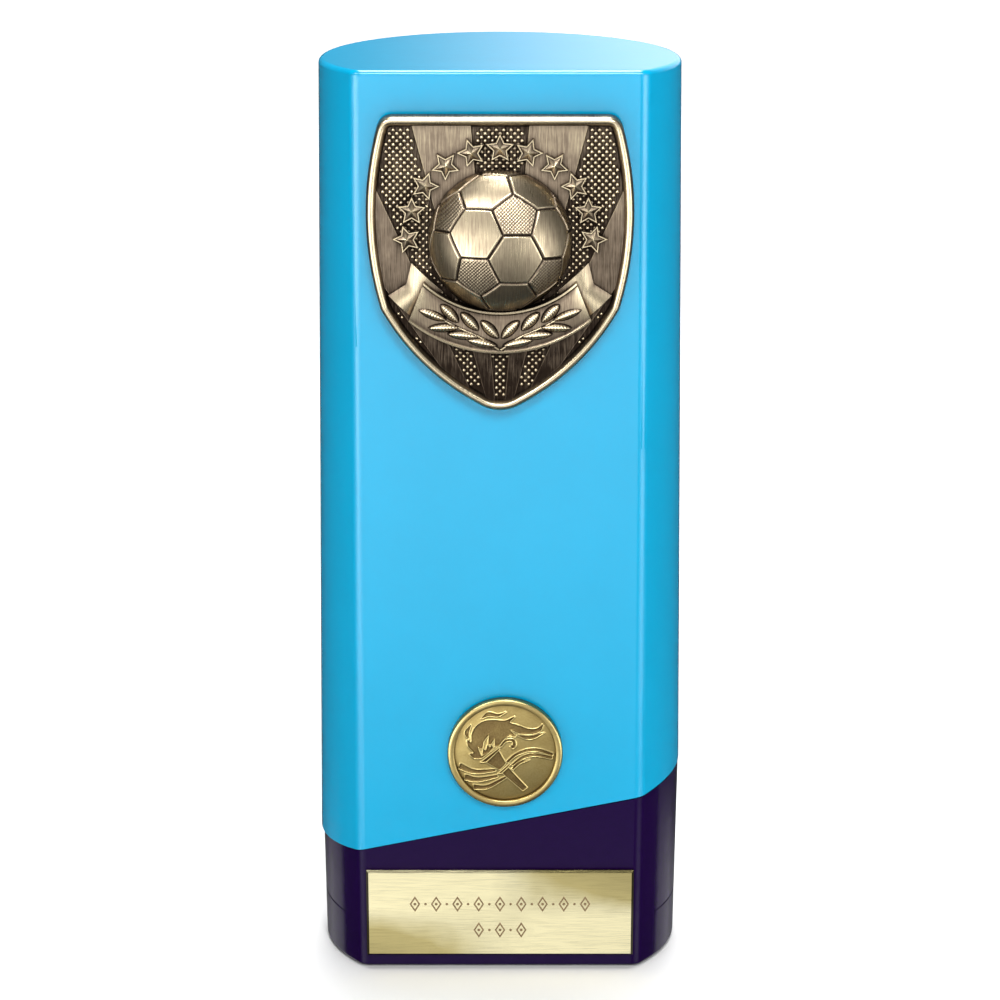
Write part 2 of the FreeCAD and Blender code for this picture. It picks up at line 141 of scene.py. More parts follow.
def polished_abs(name, colour, roughness, specular):
    """ABS, injection moulded in a polished tool. It gives a deep even colour under a clear
    reflection that ripples faintly where the wall sank as it cooled."""
    material, tree = start_material(name)
    place = add_node(tree, "ShaderNodeTexCoord").outputs["Object"]
    wall = add_node(tree, "ShaderNodeMapping", {
        "Vector": place, "Scale": per_length(18 * MM, 18 * MM, 30 * MM)})
    sink = add_node(tree, "ShaderNodeTexNoise", {"Vector": wall, "Scale": 1.0, "Detail": 2.0})
    haze = add_node(tree, "ShaderNodeTexNoise", {
        "Vector": place, "Scale": 1 / (2.5 * MM), "Detail": 4.0})
    handled = add_node(tree, "ShaderNodeMapRange", {
        "Value": haze, "From Min": 0.35, "From Max": 0.75,
        "To Min": roughness, "To Max": roughness + 0.05})
    pigment = add_node(tree, "ShaderNodeValToRGB", {"Fac": sink},
                       stops=[(0.3, darker(colour, 0.96)), (0.7, colour)])
    ripple = add_node(tree, "ShaderNodeBump", {
        "Height": sink, "Strength": 0.35, "Distance": 0.05 * MM})
    plastic = add_node(tree, "ShaderNodeBsdfPrincipled", {
        "Base Color": pigment, "Roughness": handled, "Specular IOR Level": specular, "IOR": 1.53,
        "Normal": ripple})
    return finish_material(material, plastic)


def relieved_metal(name, tones, grain, run, streak_depth):
    """Struck or cast metal, darkened and then brushed back. Hollows stay dark and dull, and
    high places are pale and satin, with a grain that runs upwards for run times its width.
    The mesh's polish attribute says how far each place was brushed back; on the shield's rays
    and ground it also holds painted shade."""
    dark, middle, bright = tones
    material, tree = start_material(name)
    polish = add_node(tree, "ShaderNodeAttribute", attribute_name="polish")
    place = add_node(tree, "ShaderNodeTexCoord").outputs["Object"]
    brush = add_node(tree, "ShaderNodeMapping", {
        "Vector": place, "Scale": per_length(grain, grain * run, grain * run)})
    lines = add_node(tree, "ShaderNodeTexNoise", {
        "Vector": brush, "Scale": 1.0, "Detail": 3.0, "Roughness": 0.6})
    stain = add_node(tree, "ShaderNodeTexNoise", {
        "Vector": place, "Scale": 1 / (4 * MM), "Detail": 3.0})
    hollow = add_node(tree, "ShaderNodeAmbientOcclusion", {"Distance": 1.6 * MM}, samples=6)
    shade = add_node(tree, "ShaderNodeMapRange", {
        "Value": hollow.outputs["AO"], "From Min": 0.3, "From Max": 0.95,
        "To Min": 0.25, "To Max": 1.0})
    streak = add_node(tree, "ShaderNodeMapRange", {
        "Value": lines, "From Min": 0.3, "From Max": 0.7,
        "To Min": -streak_depth, "To Max": streak_depth})
    cloud = add_node(tree, "ShaderNodeMapRange", {
        "Value": stain, "From Min": 0.3, "From Max": 0.7, "To Min": -0.08, "To Max": 0.08})
    worn = add_node(tree, "ShaderNodeMath", {
        0: polish.outputs["Fac"], 1: shade}, operation="MULTIPLY")
    brushed = add_node(tree, "ShaderNodeMath", {0: worn, 1: streak}, operation="ADD")
    tone = add_node(tree, "ShaderNodeMath", {0: brushed, 1: cloud}, operation="ADD")
    colour = add_node(tree, "ShaderNodeValToRGB", {"Fac": tone},
                      stops=[(0.05, dark), (0.95, bright), (0.5, middle)])
    satin = add_node(tree, "ShaderNodeMapRange", {
        "Value": tone, "From Min": 0.1, "From Max": 0.9,
        "To Min": HOLLOW_ROUGHNESS, "To Max": BRUSHED_ROUGHNESS})
    scratches = add_node(tree, "ShaderNodeBump", {
        "Height": lines, "Strength": 0.6, "Distance": 0.03 * MM})
    metal = add_node(tree, "ShaderNodeBsdfPrincipled", {
        "Base Color": colour, "Metallic": 1.0, "Roughness": satin, "Normal": scratches})
    return finish_material(material, metal)


def anodised_plate(name, colour, deep):
    """Aluminium sheet, polished and anodised pale gold. It mirrors softly, with the slight waver
    of rolled sheet and a few hairline marks, and two opposite corners are painted deeper gold:
    painted shade in place of a darker reflection."""
    material, tree = start_material(name)
    coordinates = add_node(tree, "ShaderNodeTexCoord")
    place = coordinates.outputs["Object"]
    share = add_node(tree, "ShaderNodeSeparateXYZ", {"Vector": coordinates.outputs["Generated"]})
    sides = [add_node(tree, "ShaderNodeMapRange", {
        "Value": share.outputs[axis], "To Min": -1.0, "To Max": 1.0}) for axis in ("X", "Z")]
    # Painted shade: two opposite corners are tinted deeper gold in place of a darker reflection.
    corner = add_node(tree, "ShaderNodeMath", {0: sides[0], 1: sides[1]}, operation="MULTIPLY")
    waver = add_node(tree, "ShaderNodeTexNoise", {"Vector": place, "Scale": 1 / (9 * MM)})
    rolling = add_node(tree, "ShaderNodeMapping", {
        "Vector": place, "Scale": per_length(6 * MM, 6 * MM, 0.12 * MM)})
    hair = add_node(tree, "ShaderNodeTexNoise", {"Vector": rolling, "Scale": 1.0, "Detail": 2.0})
    marks = add_node(tree, "ShaderNodeMapRange", {
        "Value": hair, "From Min": 0.45, "From Max": 0.75, "To Min": 0.1, "To Max": 0.16})
    waver_and_painted_shade = add_node(tree, "ShaderNodeMath", {
        0: waver, 1: 0.3, 2: corner}, operation="MULTIPLY_ADD")
    tint = add_node(tree, "ShaderNodeValToRGB", {"Fac": waver_and_painted_shade},
                    stops=[(0.06, colour), (1.0, deep), (0.22, darker(colour, 0.86)),
                           (0.5, darker(deep, 1.16))])
    rolled = add_node(tree, "ShaderNodeBump", {
        "Height": waver, "Strength": 0.4, "Distance": 0.02 * MM})
    metal = add_node(tree, "ShaderNodeBsdfPrincipled", {
        "Base Color": tint, "Metallic": 1.0, "Roughness": marks, "Normal": rolled})
    return finish_material(material, metal)


def engraving_fill(name, colour):
    """Oxide left in laser engraving: dull brown, a little uneven."""
    material, tree = start_material(name)
    place = add_node(tree, "ShaderNodeTexCoord").outputs["Object"]
    burn = add_node(tree, "ShaderNodeTexNoise", {
        "Vector": place, "Scale": 1 / (0.3 * MM), "Detail": 2.0})
    tint = add_node(tree, "ShaderNodeValToRGB", {"Fac": burn},
                    stops=[(0.35, colour), (0.7, darker(colour, 1.5))])
    oxide = add_node(tree, "ShaderNodeBsdfPrincipled", {
        "Base Color": tint, "Roughness": 0.6, "Metallic": 0.3})
    return finish_material(material, oxide)


def pressed_felt(name, colour):
    """Wool felt, pressed: a matt mat of crossed fibres with a soft sheen at its edge."""
    material, tree = start_material(name)
    place = add_node(tree, "ShaderNodeTexCoord").outputs["Object"]
    fibres = []
    for size in ((0.15 * MM, 1.5 * MM, 0.6 * MM), (1.5 * MM, 0.15 * MM, 0.6 * MM)):
        run = add_node(tree, "ShaderNodeMapping", {"Vector": place, "Scale": per_length(*size)})
        fibres.append(add_node(tree, "ShaderNodeTexNoise", {
            "Vector": run, "Scale": 1.0, "Detail": 3.0}))
    mat = add_node(tree, "ShaderNodeMath", {0: fibres[0], 1: fibres[1]}, operation="MAXIMUM")
    tint = add_node(tree, "ShaderNodeValToRGB", {"Fac": mat},
                    stops=[(0.45, colour), (0.75, darker(colour, 2.4))])
    nap = add_node(tree, "ShaderNodeBump", {
        "Height": mat, "Strength": 0.8, "Distance": 0.12 * MM})
    wool = add_node(tree, "ShaderNodeBsdfPrincipled", {
        "Base Color": tint, "Roughness": 0.95, "Sheen Weight": 0.25, "Normal": nap})
    return finish_material(material, wool)


def foam_tape(name, colour):
    """Closed-cell polyethylene foam tape, cut: white, matt and full of tiny cells."""
    material, tree = start_material(name)
    place = add_node(tree, "ShaderNodeTexCoord").outputs["Object"]
    cells = add_node(tree, "ShaderNodeTexVoronoi", {"Vector": place, "Scale": 1 / (0.25 * MM)})
    tint = add_node(tree, "ShaderNodeValToRGB", {"Fac": cells},
                    stops=[(0.1, darker(colour, 0.7)), (0.6, colour)])
    pits = add_node(tree, "ShaderNodeBump", {
        "Height": cells, "Strength": 0.5, "Distance": 0.05 * MM})
    foam = add_node(tree, "ShaderNodeBsdfPrincipled", {
        "Base Color": tint, "Roughness": 0.85, "Normal": pits})
    return finish_material(material, foam)


def zinc_plated_steel(name, colour):
    """Steel, turned and bright zinc plated: cool grey with fine turning marks."""
    material, tree = start_material(name)
    place = add_node(tree, "ShaderNodeTexCoord").outputs["Object"]
    lathe = add_node(tree, "ShaderNodeMapping", {
        "Vector": place, "Scale": per_length(3 * MM, 3 * MM, 0.15 * MM)})
    turned = add_node(tree, "ShaderNodeTexNoise", {"Vector": lathe, "Scale": 1.0, "Detail": 2.0})
    polish = add_node(tree, "ShaderNodeMapRange", {
        "Value": turned, "To Min": 0.2, "To Max": 0.4})
    marks = add_node(tree, "ShaderNodeBump", {
        "Height": turned, "Strength": 0.3, "Distance": 0.02 * MM})
    metal = add_node(tree, "ShaderNodeBsdfPrincipled", {
        "Base Color": colour, "Metallic": 1.0, "Roughness": polish, "Normal": marks})
    return finish_material(material, metal)


def sand_cast_iron(name, colour):
    """Iron, sand cast and oiled: dark grey with the grain of the mould and faint rust."""
    material, tree = start_material(name)
    place = add_node(tree, "ShaderNodeTexCoord").outputs["Object"]
    sand = add_node(tree, "ShaderNodeTexNoise", {
        "Vector": place, "Scale": 1 / (0.5 * MM), "Detail": 5.0})
    rust = add_node(tree, "ShaderNodeTexNoise", {
        "Vector": place, "Scale": 1 / (6 * MM), "Detail": 4.0})
    tint = add_node(tree, "ShaderNodeValToRGB", {"Fac": rust},
                    stops=[(0.55, colour), (0.8, srgb("#5a3a28"))])
    skin = add_node(tree, "ShaderNodeBump", {
        "Height": sand, "Strength": 0.7, "Distance": 0.15 * MM})
    iron = add_node(tree, "ShaderNodeBsdfPrincipled", {
        "Base Color": tint, "Metallic": 0.6, "Roughness": 0.6, "Normal": skin})
    return finish_material(material, iron)


# ------------------------------------------------------------------ mesh helpers

def grid_faces(rows, columns, wrap=False):
    """Quads over a grid of points; wrap joins the last column to the first."""
    across = columns if wrap else columns - 1
    faces = []
    for row in range(rows - 1):
        for column in range(across):
            right = (column + 1) % columns
            faces.append((row * columns + column, row * columns + right,
                          (row + 1) * columns + right, (row + 1) * columns + column))
    return faces


def make_object(name, points, faces, material):
    """Smooth mesh object from points in metres."""
    mesh = bpy.data.meshes.new(name)
    mesh.from_pydata([tuple(p) for p in points], [], faces)
    mesh.shade_smooth()
    mesh.materials.append(material)
    made = bpy.data.objects.new(name, mesh)
    bpy.context.scene.collection.objects.link(made)
    return made


def make_piece(name, points, faces, material, matrix, polish):
    """Mesh object in its own axes that rides on the trophy. Polish says how far each point was
    brushed back; on the shield's rays and ground it also holds painted shade."""
    piece = make_object(name, points, faces, material)
    layer = piece.data.attributes.new("polish", "FLOAT", "POINT")
    layer.data.foreach_set("value", np.clip(polish, 0, 1).astype(np.float32))
    piece.data.update()
    piece.matrix_world = matrix
    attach(piece, "root")
    return piece


def sharpen(piece, degrees):
    """Keep edges crisp where faces meet at more than this angle."""
    piece.data.set_sharp_from_angle(angle=math.radians(degrees))


def axes_on_front(pad, lean, offset_up=0.0):
    """Axes on a front face under a flat pad: X right, Y up the face, Z out of it. The
    origin is on the pad's outer side, offset_up above the middle of its outline."""
    low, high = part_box(pad)
    up = Vector((0, math.sin(lean), math.cos(lean)))
    out = Vector((0, -math.cos(lean), math.sin(lean)))
    reach = (high.y - low.y) - (high.z - low.z) * abs(math.tan(lean))
    thickness = reach * math.cos(lean)
    origin = (low + high) / 2 + out * (thickness / 2) + up * offset_up
    return Matrix(((1, up.x, out.x, origin.x), (0, up.y, out.y, origin.y),
                   (0, up.z, out.z, origin.z), (0, 0, 0, 1)))


def around(count):
    """Angles of a full turn, divided evenly."""
    return np.linspace(0, 2 * math.pi, count, endpoint=False)


def left_of(line):
    """Unit directions to the left of an open line at its points."""
    ahead = np.gradient(line, axis=0)
    ahead /= np.linalg.norm(ahead, axis=1)[:, None]
    return np.column_stack([-ahead[:, 1], ahead[:, 0]])


def arc_through(first, middle, last, count):
    """Points on the circle through three points, the last point left out."""
    a, b, c = (complex(*p) for p in (first, middle, last))
    turn = (c - a) / (b - a)
    centre = (b - a) * (turn - abs(turn) ** 2) / (turn - turn.conjugate()) + a
    start, end = np.angle(a - centre), np.angle(c - centre)
    mid = np.angle(b - centre)
    sweep = (end - start) % (2 * math.pi)
    if (mid - start) % (2 * math.pi) > sweep:
        sweep -= 2 * math.pi
    angles = start + sweep * np.arange(count) / count
    ring = centre + abs(a - centre) * np.exp(1j * angles)
    return np.column_stack([ring.real, ring.imag])


def smooth_curve(points, count):
    """Even points on a Catmull-Rom curve through the given ones."""
    p = np.asarray(points, float)
    p = np.vstack([2 * p[0] - p[1], p, 2 * p[-1] - p[-2]])
    spans = len(p) - 3
    t = np.linspace(0, spans, count)
    k = np.minimum(t.astype(int), spans - 1)
    u = (t - k)[:, None]
    a, b, c, d = p[k], p[k + 1], p[k + 2], p[k + 3]
    return 0.5 * (2 * b + (c - a) * u + (2 * a - 5 * b + 4 * c - d) * u ** 2
                  + (3 * b - a - 3 * c + d) * u ** 3)


def resampled(points, count):
    """The closed line through points, divided evenly."""
    closed = np.vstack([points, points[:1]])
    length = np.r_[0, np.cumsum(np.linalg.norm(np.diff(closed, axis=0), axis=1))]
    stations = np.linspace(0, length[-1], count, endpoint=False)
    return np.column_stack([np.interp(stations, length, closed[:, i]) for i in (0, 1)])


def inset(points, distance):
    """Closed clockwise line moved inwards, with mitred corners."""
    ahead = np.roll(points, -1, axis=0) - points
    ahead /= np.linalg.norm(ahead, axis=1)[:, None]
    normal = np.column_stack([ahead[:, 1], -ahead[:, 0]])
    before = np.roll(normal, 1, axis=0)
    mitre = (normal + before) / (1 + (normal * before).sum(axis=1))[:, None]
    return points + mitre * distance


def inside(points, outline):
    """Which points lie inside a closed line."""
    x, y = points[:, 0], points[:, 1]
    found = np.zeros(len(points), bool)
    ends = np.roll(outline, -1, axis=0)
    for (x1, y1), (x2, y2) in zip(outline, ends):
        if y1 == y2:
            continue
        crosses = (y1 > y) != (y2 > y)
        found ^= crosses & (x < (x2 - x1) * (y - y1) / (y2 - y1) + x1)
    return found


def distance_inside(points, outline):
    """Distance to a closed line: positive inside it, negative outside."""
    nearest = np.full(len(points), np.inf)
    ends = np.roll(outline, -1, axis=0)
    for start, end in zip(outline, ends):
        along = end - start
        share = ((points - start) @ along / max(along @ along, 1e-18)).clip(0, 1)
        gap = points - start - share[:, None] * along
        nearest = np.minimum(nearest, (gap ** 2).sum(axis=1))
    sign = np.where(inside(points, outline), 1, -1)
    return sign * np.sqrt(nearest)


class Pile:
    """Points, faces and polish of one mesh, gathered part by part."""

    def __init__(self):
        self.points, self.faces, self.polish, self.count = [], [], [], 0

    def add(self, points, faces, polish):
        self.faces += [tuple(i + self.count for i in face) for face in faces]
        self.points.append(np.asarray(points, float))
        self.polish.append(np.broadcast_to(polish, len(points)).astype(float))
        self.count += len(points)

    def piece(self, name, material, matrix, slot):
        return make_piece(name, np.vstack(self.points), self.faces, material, matrix,
                          np.concatenate(self.polish))


def add_raised(pile, outline, low, high, bevel, polish_and_shade_at):
    """Flat-topped shape with upright sides and a bright bevelled edge, on a clockwise outline;
    polish_and_shade_at gives its top's polish, painted shade included, at a height up the
    shield."""
    top = np.array([polish_and_shade_at(y) for _, y in outline])
    rings = [(0, low, top * 0), (0, high - bevel, top * 0.6), (bevel, high, top + 0.4),
             (bevel * 1.8, high, top)]
    count = len(outline)
    points, polish = [], []
    for step, height, shine in rings:
        ring = inset(outline, step)
        points += [(x, y, height) for x, y in ring]
        polish += list(shine)
    faces = grid_faces(len(rings), count, wrap=True)
    faces.append(tuple(range((len(rings) - 1) * count, len(rings) * count)))
    pile.add(points, faces, polish)


# ------------------------------------------------------------------ cast shield

def shield_outline(count):
    """Shield's clockwise outline about the ball's centre: straight top, bowed sides that
    run into a rounded point, and eased top corners."""
    corner, waist, shoulder = (24.4, 26.2), (27.5, 3.5), (24.7, -14.0)
    flank, tip_side, tip = (14.2, -27.3), (4.6, -34.1), (0.0, -35.5)
    ease = 2.6
    side = arc_through(corner, waist, shoulder, 60)
    side = side[np.linalg.norm(side - side[0], axis=1) > ease]
    t = np.linspace(0, 1, 12)[:, None]
    start, middle = np.array((corner[0] - ease, corner[1])), np.array(corner)
    rounding = (1 - t) ** 2 * start + 2 * t * (1 - t) * middle + t ** 2 * side[0]
    lower = arc_through(shoulder, flank, tip_side, 60)
    point = arc_through(tip_side, tip, (-tip_side[0], tip_side[1]), 16)[:9]
    half = np.vstack([[(0, corner[1])], rounding[:-1], side, lower, point])
    mirrored = half[-2:0:-1] * (-1, 1)
    return resampled(np.vstack([half, mirrored]) * MM, count)


def build_shield_rim(settings, outline, finish, axes):
    """Raised rim that follows the outline, rounded on top and dark on its inner slope."""
    width, height, ground = settings.rim_width, settings.rim_height, settings.ground_level
    profile = [(1.0, 0.0, 0.0), (0.0, 0.0, 0.1), (0.0, 0.62, 0.25), (0.05, 0.80, 0.45),
               (0.16, 0.93, 0.75), (0.32, 0.99, 1.0), (0.48, 1.0, 1.0), (0.64, 0.96, 0.9),
               (0.76, 0.87, 0.7), (0.86, 0.74, 0.45), (0.93, 0.60, 0.2), (1.0, 0.5, 0.0)]
    count = len(outline)
    points, polish = [], []
    for across, rise, shine in profile:
        level = max(rise * height, ground if across > 0.9 and rise else 0)
        points += [(x, y, level) for x, y in inset(outline, across * width)]
        polish += [shine] * count
    pile = Pile()
    pile.add(points, grid_faces(len(profile), count, wrap=True), polish)
    return pile.piece("shield_rim", finish, axes, "antique_casting")


def ray_outline(settings, outline, low, high):
    """Closed outline of one ray: the part of the field between two angles, measured from
    the point under the shield where all rays start."""
    start = np.array((0.0, settings.ray_start))
    near, far = [], []
    ends = np.roll(outline, -1, axis=0)
    for angle in np.linspace(low, high, 9):
        heading = np.array((math.sin(angle), math.cos(angle)))
        across = np.array((heading[1], -heading[0]))
        a, b = (outline - start) @ across, (ends - start) @ across
        hit = (a > 0) != (b > 0)
        share = (a[hit] / (a[hit] - b[hit]))[:, None]
        places = (outline[hit] * (1 - share) + ends[hit] * share - start) @ heading
        if len(places) >= 2:
            near.append(start + heading * places.min())
            far.append(start + heading * places.max())
    return np.array(far + near[::-1])


def build_shield_field(settings, outline, finish, axes):
    """Sunk ground with raised smooth rays, both painted darker towards the point as painted
    shade.
    """
    # Painted shade: the rays' tops are painted darker towards the point, over an even brushed
    # polish.
    def ray_wear_and_painted_shade(y):
        return 0.42 + (0.2 if y > 0 else 0.34) * y / (25 * MM)

    pile = Pile()
    floor = inset(outline, settings.rim_width * 0.7)
    count = len(floor)
    points = [(x, y, 0.0) for x, y in floor]
    points += [(x, y, settings.ground_level) for x, y in floor]
    faces = [tuple(range(count, 2 * count)), tuple(range(count))[::-1]]
    # Painted shade: the ground is painted darker towards the point.
    shine = [max(0.0, 0.10 + 0.10 * y / (25 * MM)) for _, y, _ in points]
    pile.add(points, faces + grid_faces(2, count, wrap=True), shine)
    margin = inset(outline, settings.rim_width * 0.85)
    step = settings.ray_angle
    for side in (-1, 1):
        for index in (0, 2):
            low, high = sorted((side * (index + 0.5) * step, side * (index + 1.5) * step))
            ray = ray_outline(settings, margin, low, high)
            add_raised(pile, ray, settings.ground_level, settings.ray_level, 0.12 * MM,
                       ray_wear_and_painted_shade)
    piece = pile.piece("shield_field", finish, axes, "antique_casting")
    sharpen(piece, 20)
    return piece


def build_shield_pebbles(settings, outline, finish, axes):
    """Staggered rows of small round beads on the ground between the rays."""
    pitch, row = settings.pebble_pitch, settings.pebble_pitch / 2
    half_columns, lowest_row, highest_row = 19, -48, 36
    # Room left at the ball and the rim, and the part of a ray's angle that is beaded on
    # each side of its middle.
    ball_gap, rim_gap, beaded_half = 0.2 * MM, 0.35 * MM, 0.44
    columns = np.arange(-half_columns, half_columns + 1) * pitch
    places = []
    for index in range(lowest_row, highest_row + 1):
        shift = pitch / 2 if index % 2 else 0
        places += [(x + shift, index * row) for x in columns]
    places = np.array(places)
    from_start = places - (0, settings.ray_start)
    sector = np.arctan2(from_start[:, 0], from_start[:, 1]) / settings.ray_angle
    pebbled = np.round(sector) % 2 == 0
    pebbled &= np.abs(sector - np.round(sector)) < beaded_half
    reach = np.linalg.norm(places, axis=1)
    pebbled &= reach > settings.ball_radius + ball_gap
    pebbled &= distance_inside(places, outline) > settings.rim_width + rim_gap
    rise = settings.pebble_rise
    turn = around(8)
    ring = np.column_stack([np.cos(turn), np.sin(turn)])
    pile = Pile()
    for x, y in places[pebbled]:
        radius = settings.pebble_radius * (0.94 + 0.08 * np.tanh(y / (10 * MM)))
        points = [(x + radius * size * c, y + radius * size * s, settings.ground_level + lift)
                  for size, lift in ((1, 0), (0.72, rise * 0.7), (0.3, rise * 0.97))
                  for c, s in ring]
        points.append((x, y, settings.ground_level + rise))
        faces = grid_faces(3, 8, wrap=True)
        faces += [(16 + i, 16 + (i + 1) % 8, 24) for i in range(8)]
        pile.add(points, faces, [0.15] * 8 + [0.8] * 8 + [1.0] * 9)
    return pile.piece("shield_pebbles", finish, axes, "antique_casting")


def ball_panels():
    """Directions and relative distances of the 12 five-sided and 20 six-sided panels of a
    football, turned to the way the ball sits in the relief."""
    golden = (1 + 5 ** 0.5) / 2
    corners = [(0, a, b * golden) for a in (1, -1) for b in (1, -1)]
    corners = np.array([np.roll(c, shift) for c in corners for shift in range(3)])
    corners /= np.linalg.norm(corners[0])
    near = corners @ corners.T > 0.4
    hexagons = []
    for i, j, k in itertools.combinations(range(12), 3):
        if near[i, j] and near[j, k] and near[i, k]:
            middle = corners[i] + corners[j] + corners[k]
            hexagons.append(middle / np.linalg.norm(middle))
    normals = np.vstack([corners, hexagons]) @ np.array(BALL_TURN).T
    reach = np.repeat([PENTAGON_DISTANCE, HEXAGON_DISTANCE], [12, 20]) / CORNER_DISTANCE
    return normals, reach


def build_shield_ball(settings, finish, axes):
    """Football in half relief: flat-sided panels with sunk seams, and knurled five-sided
    panels."""
    normals, reach = ball_panels()
    rings, spokes = 170, 480
    tilt = np.linspace(0, math.pi / 2, rings)[:, None]
    turn = around(spokes)[None, :]
    heading = np.stack([np.sin(tilt) * np.cos(turn), np.sin(tilt) * np.sin(turn),
                        np.cos(tilt) + 0 * turn], axis=2).reshape(-1, 3)
    push = heading @ normals.T / reach
    order = np.argsort(push, axis=1)
    first, second = order[:, -1], order[:, -2]
    rows = np.arange(len(heading))
    gap = push[rows, first] - push[rows, second]
    lean = np.linalg.norm(normals[first] / reach[first][:, None]
                          - normals[second] / reach[second][:, None], axis=1)
    seam = gap / lean * settings.ball_radius
    # Panels are flatter where they face forwards, so that the ball's outline stays round.
    flat = 1 / push[rows, first]
    fade, flatness = 0.45, 0.45
    facing = np.clip(heading[:, 2] / fade, 0, 1)
    size = 1 - flatness * (1 - flat / flat.max()) * facing
    sunk = np.exp(-(seam / settings.seam_width) ** 2)
    size = size / size.max() - sunk * settings.seam_depth / settings.ball_radius
    edge = np.exp(-((seam - 1.9 * settings.seam_width) / (0.8 * settings.seam_width)) ** 2)
    knurled = (first < 12) & (seam > 1.6 * settings.seam_width)
    grain = settings.knurl_pitch
    across = heading * settings.ball_radius
    dots = (np.sin(2 * math.pi * across[:, 0] / grain)
            * np.sin(2 * math.pi * across[:, 1] / grain))
    size = size + np.where(knurled, dots * settings.knurl_depth / settings.ball_radius, 0)
    polish = (0.72 + 0.3 * edge) * (1 - sunk)
    polish = np.where(knurled, 0.62 + 0.3 * dots, polish)
    rim = np.clip((heading[:, 2] - 0.02) / 0.2, 0, 1)
    polish *= 0.35 + 0.65 * rim
    base = settings.ground_level + settings.ball_lift
    points = heading * size[:, None] * (settings.ball_radius, settings.ball_radius,
                                        settings.ball_rise)
    points[:, 1] += settings.ball_up
    points[:, 2] += base
    foot = points[-spokes:] * (1, 1, 0) + (0, 0, settings.ground_level * 0.9)
    pile = Pile()
    pile.add(np.vstack([points, foot]), grid_faces(rings + 1, spokes, wrap=True),
             np.r_[polish, np.full(spokes, 0.0)])
    return pile.piece("shield_ball", finish, axes, "antique_casting")


def build_shield_stars(settings, finish, axes):
    """Arc of raised stars round the top of the ball, each with a flat border round five
    ridges that rise to its middle."""
    pile = Pile()
    span = settings.star_span
    low, border, peak = settings.ground_level, settings.star_level, settings.star_peak
    notch = 0.48
    rings = [(1.0, low, 0.0), (1.0, border - 0.12 * MM, 0.5), (0.94, border, 1.0),
             (0.8, border, 0.8), (0.75, border - 0.16 * MM, 0.3)]
    for index in range(settings.star_count):
        heading = math.pi / 2 + span / 2 - span * index / (settings.star_count - 1)
        x = settings.star_ring * math.cos(heading)
        y = settings.star_ring * math.sin(heading) + settings.star_up
        points, polish = [], []
        for share, level, shine in rings:
            for step in range(10):
                reach = settings.star_radius * share * (notch if step % 2 else 1)
                turn = heading - math.radians(36 * step)
                points.append((x + reach * math.cos(turn), y + reach * math.sin(turn), level))
                polish.append(shine if step % 2 else min(1, shine + 0.1))
        points.append((x, y, peak))
        faces = grid_faces(len(rings), 10, wrap=True)
        last = 10 * (len(rings) - 1)
        faces += [(last + i, last + (i + 1) % 10, len(points) - 1) for i in range(10)]
        pile.add(points, faces, polish + [1.0])
    piece = pile.piece("shield_stars", finish, axes, "antique_casting")
    sharpen(piece, 12)
    return piece


def build_shield_ribbon(settings, finish, axes):
    """Curved band under the ball with a beaded edge, and a folded tail at each end."""
    pile = Pile()
    top = arc_through((-15.6, -8.4), (0, -14.6), (15.6, -8.4), 60)
    top = np.vstack([top, [(15.6, -8.4)]]) * MM
    bottom = arc_through((-18.9, -16.8), (0, -23.6), (18.9, -16.8), 60)
    bottom = np.vstack([bottom, [(18.9, -16.8)]]) * MM
    ground, crest = settings.ground_level, settings.ribbon_level
    profile = [(0, 0, 0.0), (0, 0.80, 0.2), (0.02, 0.95, 0.8), (0.06, 0.97, 1.0),
               (0.10, 0.88, 0.25), (0.2, 0.93, 0.5), (0.5, 1.0, 0.55), (0.8, 0.93, 0.5),
               (0.90, 0.88, 0.25), (0.94, 0.97, 1.0), (0.98, 0.95, 0.8), (1, 0.80, 0.2),
               (1, 0, 0.0)]
    rows, shine = [], []
    stations = list(range(len(top)))
    for order, station in enumerate([0] + stations + [stations[-1]]):
        capped = order in (0, len(stations) + 1)
        end = min(station, stations[-1] - station) / 4
        curl = 0.28 * MM * math.exp(-end)
        for across, rise, light in profile:
            place = top[station] * (1 - across) + bottom[station] * across
            level = ground + (0 if capped else rise * (crest - ground) + curl * (rise > 0.5))
            rows.append((*place, level))
            shine.append(0.1 if capped else min(1, light + 0.5 * math.exp(-end * 2)))
    pile.add(rows, grid_faces(len(stations) + 2, len(profile)), shine)
    for side in (-1, 1):
        add_ribbon_tail(pile, settings, side)
    axes = axes @ Matrix.Translation((0, settings.ribbon_up, 0))
    piece = pile.piece("shield_ribbon", finish, axes, "antique_casting")
    sharpen(piece, 40)
    return piece


def add_ribbon_tail(pile, settings, side):
    """Tail that comes out from behind the band, curls up and ends in a swallow's notch."""
    hidden = np.array(((11.9, -10.6), (17.6, -16.6))) * MM
    end = np.array(((18.2, -4.7), (19.3, -9.1), (23.0, -11.5))) * MM
    along, across = 17, 11
    points, polish = [], []
    for i in range(along):
        u = i / (along - 1)
        for j in range(-1, across + 1):
            v = min(max(j, 0), across - 1) / (across - 1)
            inner = hidden[0] * (1 - v) + hidden[1] * v
            outer = end[0] * (1 - 2 * v) + end[1] * 2 * v if v < 0.5 else (
                end[1] * (2 - 2 * v) + end[2] * (2 * v - 1))
            place = inner * (1 - u) + outer * u
            rise = settings.tail_rise * (0.35 + 0.65 * math.sin(math.pi * (0.05 + 0.8 * u)))
            wall = j < 0 or j >= across
            points.append((side * place[0], place[1],
                           settings.ground_level + (0 if wall else rise)))
            polish.append(0.1 if wall else 0.3 + 0.65 * math.sin(math.pi * (0.1 + 0.8 * u)))
    closing = [(x, y, settings.ground_level) for x, y, _ in points[-(across + 2):]]
    pile.add(points + closing, grid_faces(along + 1, across + 2),
             polish + [0.1] * len(closing))


